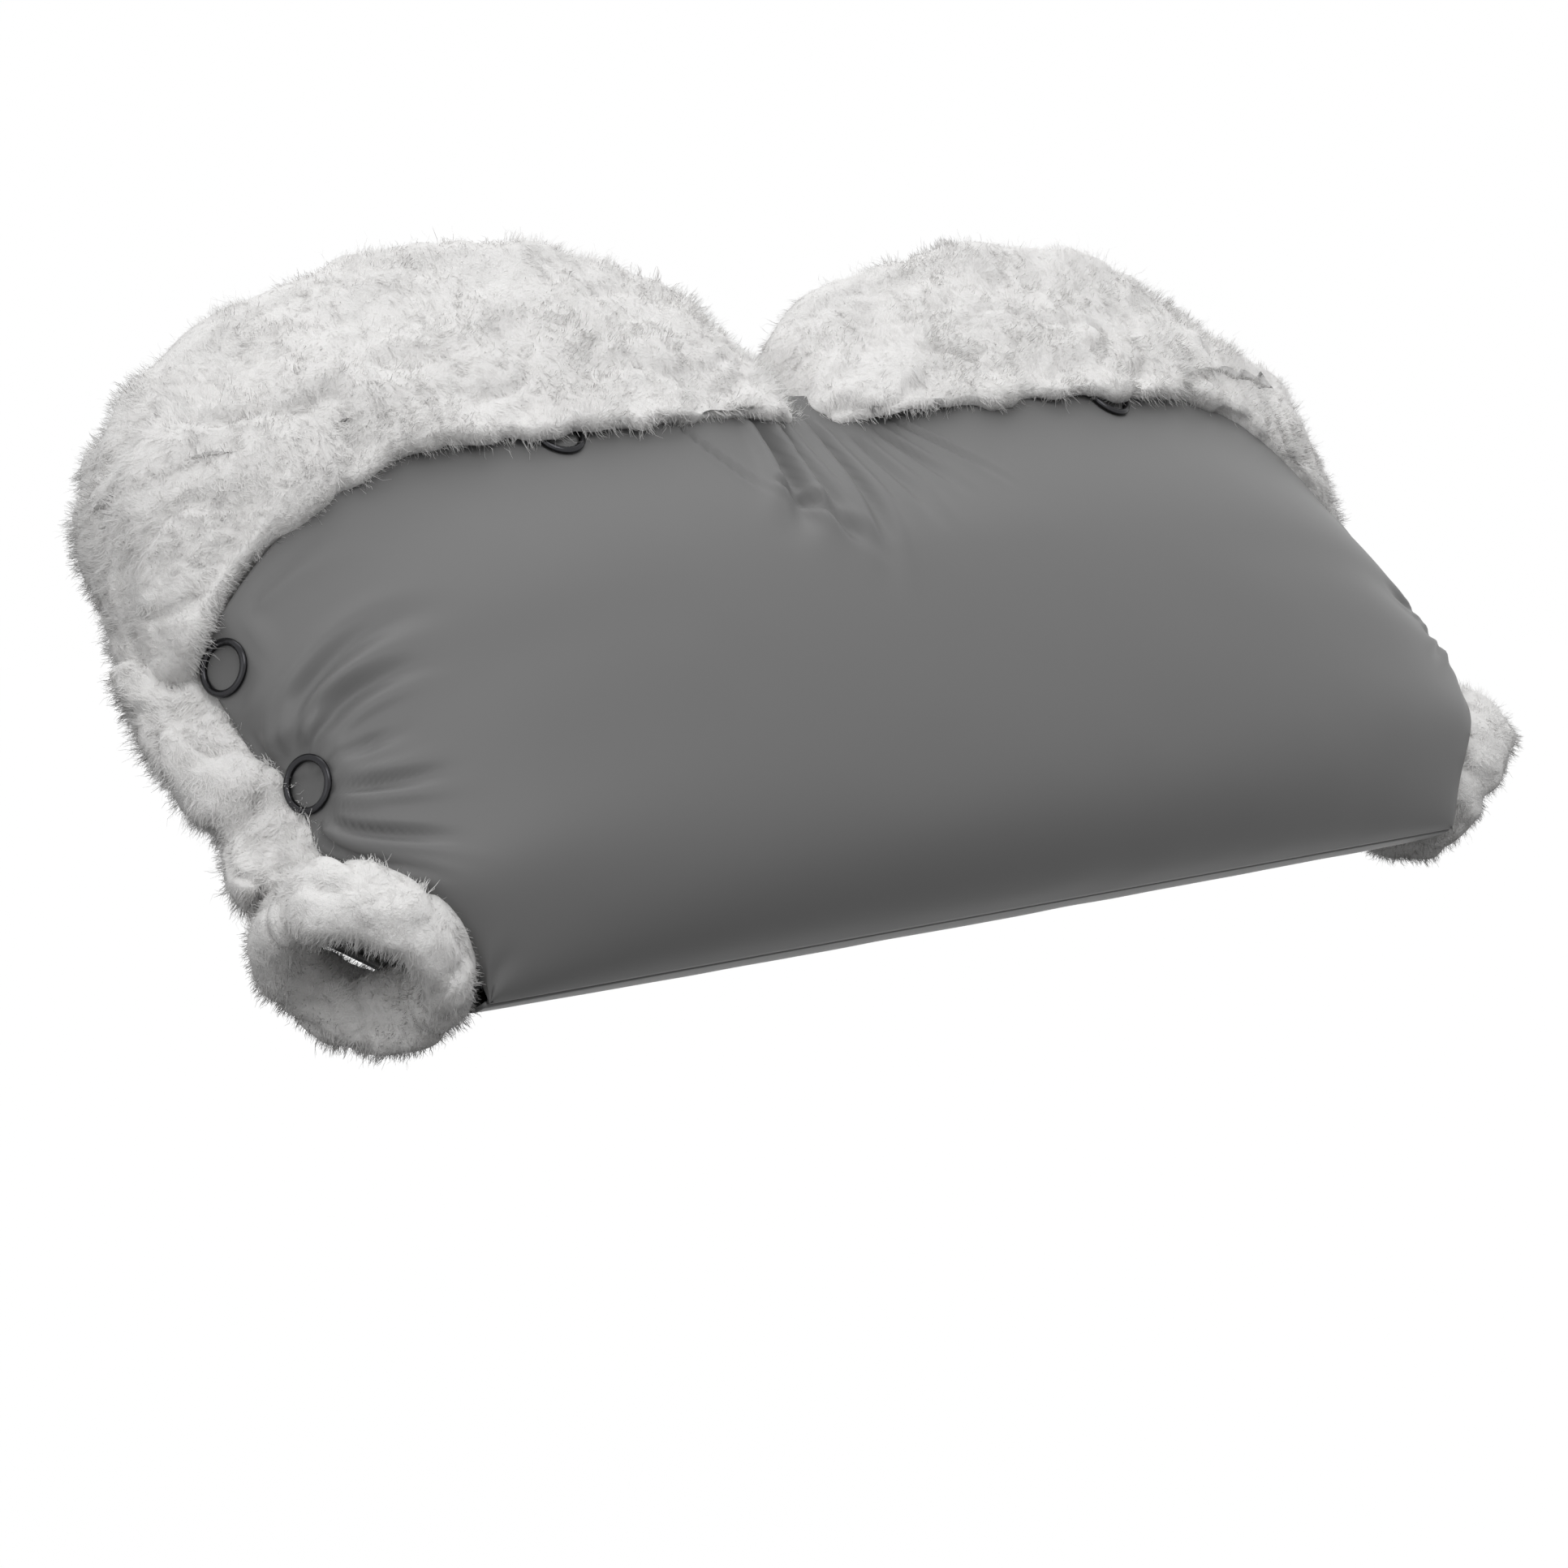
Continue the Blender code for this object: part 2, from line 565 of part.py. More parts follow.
def build_side(name, side):
    """Wall across the open side, and the wool roll that stands out between the hems."""
    shares = np.array(ROW_SHARES[SIDE_WALL_ROW:])
    front_rows, rear_rows = row_at(FRONT, shares), row_at(REAR, shares)
    front_places, rear_places = panel_columns(FRONT)[1::-1], panel_columns(REAR)[:2]
    rear_start = FABRIC + GAP
    outer = [panel_offset(FRONT, place_across, front_rows, SIDE_WALL_INSET)
             for place_across in front_places]
    outer += [panel_offset(REAR, place_across, rear_rows, rear_start)
              for place_across in rear_places]
    inner = [panel_offset(FRONT, place_across, front_rows, SIDE_WALL_INSET + BAND)
             for place_across in front_places]
    inner += [panel_offset(REAR, place_across, rear_rows, rear_start + BAND)
              for place_across in rear_places]
    outer, inner = np.stack(outer, axis=1), np.stack(inner, axis=1)
    for grid in (outer, inner):
        grid[-1] = grid[-2] + (grid[-1] - grid[-2]) * SIDE_WALL_REACH_SHARE
    mirror = np.array([side, 1.0, 1.0])
    slab(name + "_side_wall", place_points(outer * mirror), place_points(inner * mirror),
         white_felt("side wall " + name))

    front_edge = panel_surface(FRONT, 0.0, front_rows)
    rear_edge = panel_surface(REAR, 0.0, rear_rows)
    for edge in (front_edge, rear_edge):
        edge[-1] = edge[-2] + (edge[-1] - edge[-2]) * SIDE_WALL_REACH_SHARE
    wall_front, wall_rear = outer[:, 1], outer[:, 2]
    crest, base = [], []
    for share in np.linspace(0.0, 1.0, SIDE_WOOL_STEPS):
        inset = GAP + SEAM_CLEARANCE
        start_depth = front_edge[:, 2] - inset
        end_depth = rear_edge[:, 2] + inset
        depth = start_depth + (end_depth - start_depth) * share
        span = (depth - wall_front[:, 2]) / (wall_rear[:, 2] - wall_front[:, 2])
        wall_x = wall_front[:, 0] + (wall_rear[:, 0] - wall_front[:, 0]) * span
        rise = front_edge[:, 1] + (rear_edge[:, 1] - front_edge[:, 1]) * share
        crown = np.sin(np.pi * share) ** ROLL_POWER
        bulge = SIDE_WOOL_EDGE + (SIDE_WOOL - SIDE_WOOL_EDGE) * crown
        base.append(np.stack([wall_x + GAP, rise, depth], axis=-1))
        crest.append(np.stack([wall_x + GAP + bulge, rise, depth], axis=-1))
    slab(name + "_side_wool", place_points(np.stack(crest, axis=1) * mirror),
         place_points(np.stack(base, axis=1) * mirror), wool("side wool " + name))


def build_corner(name, side):
    """Wool wall that fills the corner between the dropped hems and the cuff."""
    reach = (CORNER_WOOL_STEPS - 1) * np.pi / RING_STEPS
    angle = np.linspace(-reach, reach, CORNER_WOOL_STEPS)
    outside, inside = [], []
    top = HEM_RISE + GAP
    band_bottom = HEM_RISE - BAND_HEIGHT
    loop_top = opening_loop(side, angle, HEM_RISE)
    loop_low = opening_loop(side, angle, band_bottom)
    low = top_hem(loop_top[:, 0]) + CORNER_SEAT
    along = np.gradient(loop_top, axis=0)
    along /= np.linalg.norm(along, axis=-1, keepdims=True)
    outwards = np.stack([along[:, 1], -along[:, 0]], axis=-1) * side
    swell = CORNER_WOOL_EDGE + (CORNER_WOOL - CORNER_WOOL_EDGE) * np.cos(angle) ** 2
    for level in np.linspace(0.0, 1.0, CORNER_WOOL_LEVELS):
        rise = low + (top - low) * level
        band_share = ((rise - band_bottom) / BAND_HEIGHT)[:, None]
        wall = loop_low + (loop_top - loop_low) * band_share
        near = wall + outwards * GAP
        far = wall + outwards * (GAP + swell)[:, None]
        outside.append(place(far[:, 0], rise, far[:, 1]))
        inside.append(place(near[:, 0], rise, near[:, 1]))
    slab(name + "_corner_wool", np.stack(outside), np.stack(inside), wool("corner wool " + name))


def build_arm_cuff(name, half, side, pivot=None):
    """Half of the wool ring round an arm of the handle, split between front and rear."""
    start = np.arcsin(SEAM_CLEARANCE / ARM_CUFF_RING)
    swing = np.linspace(start, np.pi - start, ARM_CUFF_STEPS) - np.pi / 2.0
    turns = np.linspace(0.0, 2.0 * np.pi, ARM_CUFF_SIDES, endpoint=False)
    swing, turns = swing[:, None], turns[None, :]
    reach = ARM_CUFF_RING + ARM_CUFF_HALF_THICKNESS * np.cos(turns)
    lift = ARM_CUFF_HALF_LENGTH * np.sin(turns) + swing * 0.0
    outwards = reach * np.sin(swing)
    depth = ARM_CUFF_DEPTH + half["direction"] * reach * np.cos(swing)
    x = ARM_CUFF_X + outwards * np.cos(ARM_CUFF_TILT) - lift * np.sin(ARM_CUFF_TILT)
    rise = ARM_CUFF_RISE + outwards * np.sin(ARM_CUFF_TILT) + lift * np.cos(ARM_CUFF_TILT)
    material = wool(name.replace("_", " "))
    tube(name, place(side * x, rise, depth), material, pivot, closed=False)


def stud_frame(shell, across, at):
    """Centre of a stud on the front shell and its axis, square to the facets under the cap."""
    spot = panel_surface(FRONT, np.array([across]), np.array([at]))[0]
    tilt = panel_normals(FRONT, np.array([across]), np.array([at]))[0]
    center = Vector(place_points(spot).tolist())
    normal = (Vector(place_points(spot + tilt).tolist()) - center).normalized()
    bpy.context.view_layer.update()
    vertices = [shell.matrix_world @ v.co for v in shell.data.vertices]
    tree = BVHTree.FromPolygons(vertices, [tuple(p.vertices) for p in shell.data.polygons])
    reach = CAP_OUTER * 2.0
    facets = [tree.ray_cast(center + way * SOCKET_RADIUS + normal * reach, -normal, reach * 2.0)[1]
              for way in ring_directions(normal)]
    mean = sum((facet for facet in facets if facet is not None), Vector())
    hit = tree.ray_cast(center + normal * reach, -normal, reach * 2.0)[0]
    return hit, mean.normalized()


def ring_directions(normal):
    up = Vector((0.0, 0.0, 1.0))
    first = normal.cross(up).normalized()
    second = normal.cross(first)
    turns = np.linspace(0.0, 2.0 * np.pi, STUD_SIDES, endpoint=False)
    return [first * np.cos(t) + second * np.sin(t) for t in turns]


def heights_over(carrier, center, normal, radii):
    """Highest and lowest face of a piece under a ring, measured along the stud's axis."""
    bpy.context.view_layer.update()
    vertices = [carrier.matrix_world @ v.co for v in carrier.data.vertices]
    tree = BVHTree.FromPolygons(vertices, [tuple(p.vertices) for p in carrier.data.polygons])
    reach = CAP_OUTER * 2.0
    tops, bottoms = [], []
    for radius in radii:
        for way in ring_directions(normal):
            spot = center + way * radius
            top = tree.ray_cast(spot + normal * reach, -normal, reach * 2.0)[0]
            if top is None:
                continue
            bottom = tree.ray_cast(top - normal * GAP, -normal, reach)[0]
            if bottom is None:
                continue
            tops.append((top - center).dot(normal))
            bottoms.append((bottom - center).dot(normal))
    return max(tops), min(bottoms)


def turned(name, center, normal, profile, material, pivot=None):
    """Ring turned from a closed profile of (radius, height) about the stud's axis."""
    sections = [
        [center + way * radius + normal * height for radius, height in profile]
        for way in ring_directions(normal)
    ]
    tube(name, np.array([[tuple(p) for p in ring] for ring in sections]), material, pivot)


def build_stud(name, across, at, shell, carrier, front_pivot, capped=True):
    """Ring cap and socket on the front panel, stud and back ring on what it closes to."""
    center, normal = stud_frame(shell, across, at)
    face, back = heights_over(shell, center, normal, [SOCKET_RADIUS, CAP_OUTER, SOCKET_HOLE])
    low = face + GAP
    high = low + CAP_HEIGHT
    bevel = CAP_HEIGHT / 4.0
    if capped:
        turned(name + "_ring_cap", center, normal, [
            (CAP_INNER, low), (CAP_OUTER, low), (CAP_OUTER, high - bevel),
            (CAP_OUTER - bevel, high), (CAP_INNER + bevel, high), (CAP_INNER, high - bevel),
        ], black_nickel("ring cap " + name), front_pivot)
    plate = back - GAP
    mouth = plate - SOCKET_HEIGHT
    turned(name + "_socket", center, normal, [
        (SOCKET_HOLE, plate), (SOCKET_RADIUS, plate), (SOCKET_RADIUS, mouth),
        (SOCKET_MOUTH, mouth), (SOCKET_MOUTH, plate - SOCKET_PLATE),
        (SOCKET_HOLE, plate - SOCKET_PLATE),
    ], black_nickel("socket " + name), front_pivot)
    wall_face, wall_back = heights_over(carrier, center, normal, [STUD_RADIUS, STUD_HOLE])
    foot = wall_face + GAP
    flange = foot + STUD_FLANGE
    turned(name + "_stud", center, normal, [
        (STUD_HOLE, foot), (STUD_RADIUS, foot), (STUD_RADIUS, flange),
        (STUD_HEAD, flange), (STUD_HEAD, flange + STUD_HEAD_HEIGHT),
        (STUD_HOLE, flange + STUD_HEAD_HEIGHT),
    ], black_nickel("stud " + name))
    rest = wall_back - GAP
    turned(name + "_back_ring", center, normal, [
        (BACK_HOLE, rest), (BACK_RADIUS, rest),
        (BACK_RADIUS, rest - BACK_HEIGHT), (BACK_HOLE, rest - BACK_HEIGHT),
    ], black_nickel("back ring " + name))
    print(name, "socket mouth above stud flange:", round((mouth - flange) * 1000.0, 2), "mm")


def build_center_tab():
    """Strap from the rear panel to the front hem, between the two hand openings."""
    stud_rise = HEM_RISE - STUD_BELOW_HEM
    line = panel_offset(FRONT, 0.5, panel_rows(FRONT)[-2:], BAND_INSET)
    slope = (line[1, 2] - line[0, 2]) / (line[1, 1] - line[0, 1])
    high, low = stud_rise + TAB_ABOVE_STUD, stud_rise - TAB_BELOW_STUD
    high_face = line[0, 2] + slope * (high - line[0, 1])
    low_face = line[0, 2] + slope * (low - line[0, 1])
    rear = float(depth_at(REAR, 0.0, stud_rise)) + FABRIC + GAP + SEAM_CLEARANCE
    outline = [
        (high, high_face), (low, low_face), (low, low_face - BAND),
        (high - BAND, high_face - BAND), (high - BAND, rear), (high, rear),
    ]
    sections = np.array([
        [place(x, rise, depth) for rise, depth in outline]
        for x in (-TAB_HALF_WIDTH, 0.0, TAB_HALF_WIDTH)
    ])
    vertices = sections.reshape(-1, 3)
    count = len(outline)
    faces = grid_faces(len(sections), count, 0, wrap_columns=True)
    ends = [(0, 1, 2, 3), (0, 3, 4, 5)]
    faces += [face[::-1] for face in ends]
    faces += [tuple(2 * count + i for i in face) for face in ends]
    return make_object("center_tab", vertices, faces, white_felt("centre tab"))


def build_muff():
    front_pivot = pivot_at("front_panel_pivot", -SEAM_DROP - HINGE_BELOW_SEAM, -SEAM_SETBACK)
    rear_face = -SEAM_SETBACK - REAR_CROWN - SEAM_CLEARANCE / 2.0
    front_shell = build_panel("front", FRONT, front_pivot)
    build_panel("rear", REAR)
    tab = build_center_tab()
    height = HEM_RISE + SEAM_DROP
    stud_share = (height - STUD_BELOW_HEM) / height
    stud_row = float(row_at(FRONT, stud_share))
    # the centre socket is sewn to the shell's back, so no cap shows there
    build_stud("center", 0.5, stud_row, front_shell, tab, front_pivot, capped=False)
    for name, side in (("left", -1.0), ("right", 1.0)):
        cuff_pivot = pivot_at(name + "_cuff_pivot", HEM_RISE - CUFF_PIVOT_DROP,
                              rear_face - CUFF_PIVOT_BACK)
        build_band(name + "_opening_band", side)
        build_cuff(name + "_cuff", side, cuff_pivot)
        build_side(name, side)
        build_corner(name, side)
        build_arm_cuff(name + "_arm_cuff_front", FRONT, side, front_pivot)
        build_arm_cuff(name + "_arm_cuff_rear", REAR, side)
        band = bpy.data.objects[name + "_opening_band"]
        wall = bpy.data.objects[name + "_side_wall"]
        middle_place = across_at(FRONT, side * OPENING_CENTER * MIDDLE_STUD_SHARE, 1.0)
        build_stud(name + "_middle", middle_place, stud_row, front_shell, band, front_pivot)
        side_place = panel_columns(FRONT)[1] / 2.0
        side_place = side_place if side > 0.0 else 1.0 - side_place
        for place_name, share in (("side", SIDE_STUD_SHARE), ("corner", CORNER_STUD_SHARE)):
            build_stud(name + "_" + place_name, side_place, float(row_at(FRONT, share)),
                       front_shell, wall, front_pivot)


for item in list(bpy.data.objects):
    bpy.data.objects.remove(item, do_unlink=True)
build_muff()
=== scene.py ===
import json
from math import radians

import bpy
import numpy as np
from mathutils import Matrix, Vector

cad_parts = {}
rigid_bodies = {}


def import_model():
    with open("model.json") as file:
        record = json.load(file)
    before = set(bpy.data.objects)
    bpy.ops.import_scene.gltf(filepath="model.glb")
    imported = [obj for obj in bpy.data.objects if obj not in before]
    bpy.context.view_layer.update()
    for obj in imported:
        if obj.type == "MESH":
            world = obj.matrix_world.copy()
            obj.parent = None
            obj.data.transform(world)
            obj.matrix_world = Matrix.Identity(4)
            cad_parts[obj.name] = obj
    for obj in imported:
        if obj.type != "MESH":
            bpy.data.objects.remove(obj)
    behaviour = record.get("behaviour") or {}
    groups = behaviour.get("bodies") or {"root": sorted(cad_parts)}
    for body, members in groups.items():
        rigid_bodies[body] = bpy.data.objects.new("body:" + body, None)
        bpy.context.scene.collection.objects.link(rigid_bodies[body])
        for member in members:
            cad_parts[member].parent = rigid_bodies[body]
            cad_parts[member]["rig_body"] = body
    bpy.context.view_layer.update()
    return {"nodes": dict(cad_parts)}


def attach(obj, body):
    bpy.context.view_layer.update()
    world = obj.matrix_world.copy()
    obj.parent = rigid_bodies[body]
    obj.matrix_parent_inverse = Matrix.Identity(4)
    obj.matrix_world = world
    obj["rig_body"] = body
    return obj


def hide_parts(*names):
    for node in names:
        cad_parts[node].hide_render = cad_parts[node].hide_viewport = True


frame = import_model()

mm = 0.001


# shared tools

def linearColor(hexColor):
    # hex sRGB to linear: ((c + 0.055) / 1.055) to the power 2.4, or c / 12.92 when dark
    channels = np.array([int(hexColor[i:i + 2], 16) / 255.0 for i in (1, 3, 5)])
    linear = np.where(channels <= 0.04045, channels / 12.92, ((channels + 0.055) / 1.055) ** 2.4)
    return (*linear.tolist(), 1.0)


def smoothStep(value):
    # 3v^2 - 2v^3 between 0 and 1
    value = np.clip(value, 0.0, 1.0)
    return value * value * (3.0 - 2.0 * value)


def spline(points, at):
    # natural cubic through the points, read at shares of its chord length
    points = np.array(points, dtype=float)
    steps = np.linalg.norm(np.diff(points, axis=0), axis=1)
    knots = np.concatenate([[0.0], np.cumsum(steps)])
    count = len(points)
    matrix = np.eye(count)
    right = np.zeros_like(points)
    slopes = np.diff(points, axis=0) / steps[:, None]
    for i in range(1, count - 1):
        matrix[i, i - 1:i + 2] = steps[i - 1], 2.0 * (steps[i - 1] + steps[i]), steps[i]
        right[i] = 6.0 * (slopes[i] - slopes[i - 1])
    bends = np.linalg.solve(matrix, right)
    where = np.clip(at, 0.0, 1.0) * knots[-1]
    k = np.clip(np.searchsorted(knots, where, side="right") - 1, 0, count - 2)
    h = steps[k][..., None]
    a = (knots[k + 1] - where)[..., None] / h
    b = 1.0 - a
    cubic = ((a ** 3 - a) * bends[k] + (b ** 3 - b) * bends[k + 1]) * h * h / 6.0
    return a * points[k] + b * points[k + 1] + cubic


def latticeValue(ix, iy, iz, seed):
    # the same random number from 0 to 1 for the same lattice corner: its three whole numbers
    # times large primes, mixed bit by bit
    n = ix.astype(np.int64) * 73856093
    n = n ^ (iy.astype(np.int64) * 19349663) ^ (iz.astype(np.int64) * 83492791)
    n = (n ^ (seed * 2654435761)) & 0xFFFFFFFF
    n = ((n ^ (n >> 15)) * 2246822519) & 0xFFFFFFFF
    n = ((n ^ (n >> 13)) * 3266489917) & 0xFFFFFFFF
    return ((n ^ (n >> 16)) & 0xFFFFFF) / float(0x1000000)


def valueNoise(points, size, seed):
    # smooth noise from -1 to 1 with features of the given size: the random numbers of the
    # eight lattice corners round a point, each weighted by 3f^2 - 2f^3 of the place between them
    p = points / size
    base = np.floor(p).astype(np.int64)
    f = p - base
    f = f * f * (3.0 - 2.0 * f)
    total = 0.0
    for dx in (0, 1):
        for dy in (0, 1):
            for dz in (0, 1):
                weight = ((f[..., 0] if dx else 1.0 - f[..., 0])
                          * (f[..., 1] if dy else 1.0 - f[..., 1])
                          * (f[..., 2] if dz else 1.0 - f[..., 2]))
                cell = np.moveaxis(base + np.array([dx, dy, dz]), -1, 0)
                total = total + weight * latticeValue(*cell, seed)
    return 2.0 * total - 1.0


def cellNoise(points, size, seed):
    # distance to the nearest jittered cell centre, in cells, and that centre's place
    p = points / size
    base = np.floor(p).astype(np.int64)
    nearest = np.full(p.shape[:-1], 9.0)
    center = np.zeros_like(p)
    for dx in (-1, 0, 1):
        for dy in (-1, 0, 1):
            for dz in (-1, 0, 1):
                cell = base + np.array([dx, dy, dz])
                jitter = np.stack([latticeValue(*np.moveaxis(cell, -1, 0), seed + k) for k in (1, 2, 3)],
                                  axis=-1)
                spot = cell + 0.15 + 0.7 * jitter
                distance = np.linalg.norm(p - spot, axis=-1)
                closer = distance < nearest
                nearest = np.where(closer, distance, nearest)
                center = np.where(closer[..., None], spot, center)
    return nearest, center * size


def gridQuads(rows, columns, start=0, wrapRows=False, wrapColumns=False):
    # corners of the quads between neighbouring points of a grid
    r = np.arange(rows if wrapRows else rows - 1)
    c = np.arange(columns if wrapColumns else columns - 1)
    r, c = np.meshgrid(r, c, indexing="ij")
    r2, c2 = (r + 1) % rows, (c + 1) % columns
    quads = np.stack([r * columns + c, r * columns + c2, r2 * columns + c2, r2 * columns + c], axis=-1)
    return quads.reshape(-1, 4) + start


def facesToMesh(name, vertices, faces, material, shading=None):
    # faces is one array of quads or triangles; shading is a normal for each vertex
    vertices = np.ascontiguousarray(vertices.reshape(-1, 3), dtype=np.float32)
    faces = np.ascontiguousarray(faces, dtype=np.int32)
    corners = faces.shape[1]
    mesh = bpy.data.meshes.new(name)
    mesh.vertices.add(len(vertices))
    mesh.vertices.foreach_set("co", vertices.ravel())
    mesh.loops.add(faces.size)
    mesh.loops.foreach_set("vertex_index", faces.ravel())
    mesh.polygons.add(len(faces))
    mesh.polygons.foreach_set("loop_start", np.arange(0, faces.size, corners, dtype=np.int32))
    mesh.update(calc_edges=True)
    mesh.validate()
    mesh.materials.append(material)
    mesh.shade_smooth()
    if shading is not None:
        kept = mesh.attributes.new("custom_normal", "FLOAT_VECTOR", "POINT")
        shading = np.ascontiguousarray(shading.reshape(-1, 3), dtype=np.float32)
        kept.data.foreach_set("vector", shading.ravel())
    item = bpy.data.objects.new(name, mesh)
    bpy.context.scene.collection.objects.link(item)
    return item


def tubeObject(name, rings, material, flip=False):
    # closed solid of rings of points, joined round both ways
    faces = gridQuads(rings.shape[0], rings.shape[1], 0, True, True)
    if flip:
        faces = faces[:, ::-1]
    return facesToMesh(name, rings, faces, material)


def slabObject(name, outside, inside, material, flip=False):
    # closed plate between two grids of points
    rows, columns = outside.shape[:2]
    size = rows * columns
    front = gridQuads(rows, columns)
    back = gridQuads(rows, columns, size)[:, ::-1]
    rim = np.concatenate([
        np.arange(columns), np.arange(1, rows) * columns + columns - 1,
        (rows - 1) * columns + np.arange(columns - 2, -1, -1), np.arange(rows - 2, 0, -1) * columns,
    ])
    after = np.roll(rim, -1)
    side = np.stack([after, rim, rim + size, after + size], axis=-1)
    faces = np.concatenate([front, back, side])
    if flip:
        faces = faces[:, ::-1]
    points = np.concatenate([outside.reshape(-1, 3), inside.reshape(-1, 3)])
    return facesToMesh(name, points, faces, material)


def rollObject(name, rings, material, flip=False):
    # solid of rings of points from one rounded end to the other, closed at both poles
    count, sides = rings.shape[:2]
    quads = gridQuads(count, sides, 0, False, True)
    poles = rings[[0, -1]].mean(axis=1)
    c = np.arange(sides)
    n = (c + 1) % sides
    base = (count - 1) * sides
    first = np.stack([np.full(sides, count * sides), n, c], axis=-1)
    last = np.stack([np.full(sides, count * sides + 1), base + c, base + n], axis=-1)
    faces = np.concatenate([quads[:, [0, 1, 2]], quads[:, [0, 2, 3]], first, last])
    if flip:
        faces = faces[:, ::-1]
    return facesToMesh(name, np.concatenate([rings.reshape(-1, 3), poles]), faces, material)


def gridNormals(points, wrapRows=False, wrapColumns=False):
    # unit normals of a grid of points: along rows cross along columns
    def steps(axis, wrap):
        # differences between neighbours, taken across the seam where the grid closes
        if wrap:
            return np.roll(points, -1, axis) - np.roll(points, 1, axis)
        return np.gradient(points, axis=axis)
    normal = np.cross(steps(0, wrapRows), steps(1, wrapColumns))
    length = np.linalg.norm(normal, axis=-1, keepdims=True)
    return normal / np.maximum(length, 1e-12)


def unit(vectors):
    # each vector over its own length
    return vectors / np.maximum(np.linalg.norm(vectors, axis=-1, keepdims=True), 1e-9)


def seat(item, body, nodes=()):
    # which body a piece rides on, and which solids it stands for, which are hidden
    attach(item, body)
    if nodes:
        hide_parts(*nodes)


# materials

def newMaterial(name, hexColor, roughness, metallic=0.0, specular=0.5):
    # a material with the basic values of its shader set
    material = bpy.data.materials.new(name)
    material.use_nodes = True
    shader = material.node_tree.nodes["Principled BSDF"]
    shader.inputs["Base Color"].default_value = linearColor(hexColor)
    shader.inputs["Roughness"].default_value = roughness
    shader.inputs["Metallic"].default_value = metallic
    shader.inputs["Specular IOR Level"].default_value = specular
    return material, shader


def addNode(material, kind, settings=(), links=()):
    # one node with its values set and its sockets linked: (input, from node, output)
    node = material.node_tree.nodes.new(kind)
    for name, value in dict(settings).items():
        if isinstance(name, int) or name in node.inputs:
            node.inputs[name].default_value = value
        else:
            setattr(node, name, value)
    for name, source, output in links:
        material.node_tree.links.new(source.outputs[output], node.inputs[name])
    return node


# taken to be woven polyester with a water-repellent coat: a broad soft highlight along each
# fold; the weave is drawn at 0.35 mm, coarser than real thread, which is too fine to show
shellLook = {
    "color": "#777777", "roughness": 0.41, "specular": 0.17, "sheen": 0.02, "sheenRoughness": 0.4,
    "weave": 0.35 * mm, "weaveDepth": 0.02 * mm, "weaveStrength": 0.35,
}
shellFabric, shader = newMaterial("grey coated polyester", shellLook["color"], shellLook["roughness"],
                                  specular=shellLook["specular"])
shader.inputs["Sheen Weight"].default_value = shellLook["sheen"]
shader.inputs["Sheen Roughness"].default_value = shellLook["sheenRoughness"]
coords = addNode(shellFabric, "ShaderNodeTexCoord")
weave = addNode(shellFabric, "ShaderNodeTexNoise", {"Scale": 1.0 / shellLook["weave"], "Detail": 2.0},
                [("Vector", coords, "Object")])
bump = addNode(shellFabric, "ShaderNodeBump",
               {"Strength": shellLook["weaveStrength"], "Distance": shellLook["weaveDepth"]},
               [("Height", weave, "Fac")])
shellFabric.node_tree.links.new(bump.outputs["Normal"], shader.inputs["Normal"])

# curly wool pile: white and dull, with a soft light edge, and shadows between its curls of
# about 2 mm, whose pattern is bent over 6 mm
woolLook = {
    "color": "#f4f3f2", "roughness": 0.95, "specular": 0.15, "sheen": 0.25, "sheenRoughness": 0.6,
    "curl": 2.2 * mm, "curlDepth": 0.9 * mm, "curlStrength": 0.9,
    "bend": 6.0 * mm, "bendReach": 5.0 * mm,
}


def woolMaterial(name, withCurls):
    # the pile has curls in its bump; the fibres, which are shapes already, have none
    material, woolShader = newMaterial(name, woolLook["color"], woolLook["roughness"],
                                       specular=woolLook["specular"])
    woolShader.inputs["Sheen Weight"].default_value = woolLook["sheen"]
    woolShader.inputs["Sheen Roughness"].default_value = woolLook["sheenRoughness"]
    if withCurls:
        woolCoords = addNode(material, "ShaderNodeTexCoord")
        warp = addNode(material, "ShaderNodeTexNoise", {"Scale": 1.0 / woolLook["bend"], "Detail": 3.0},
                       [("Vector", woolCoords, "Object")])
        bend = addNode(material, "ShaderNodeVectorMath",
                       {"operation": "SCALE", "Scale": woolLook["bendReach"]},
                       [("Vector", warp, "Color")])
        moved = addNode(material, "ShaderNodeVectorMath", {"operation": "ADD"},
                        [(0, woolCoords, "Object"), (1, bend, "Vector")])
        curls = addNode(material, "ShaderNodeTexNoise",
                        {"Scale": 1.0 / woolLook["curl"], "Detail": 4.0, "Roughness": 0.7},
                        [("Vector", moved, "Vector")])
        curlBump = addNode(material, "ShaderNodeBump",
                           {"Strength": woolLook["curlStrength"], "Distance": woolLook["curlDepth"]},
                           [("Height", curls, "Fac")])
        material.node_tree.links.new(curlBump.outputs["Normal"], woolShader.inputs["Normal"])
    return material


wool = woolMaterial("white wool pile", True)
fibre = woolMaterial("white wool fibre", False)

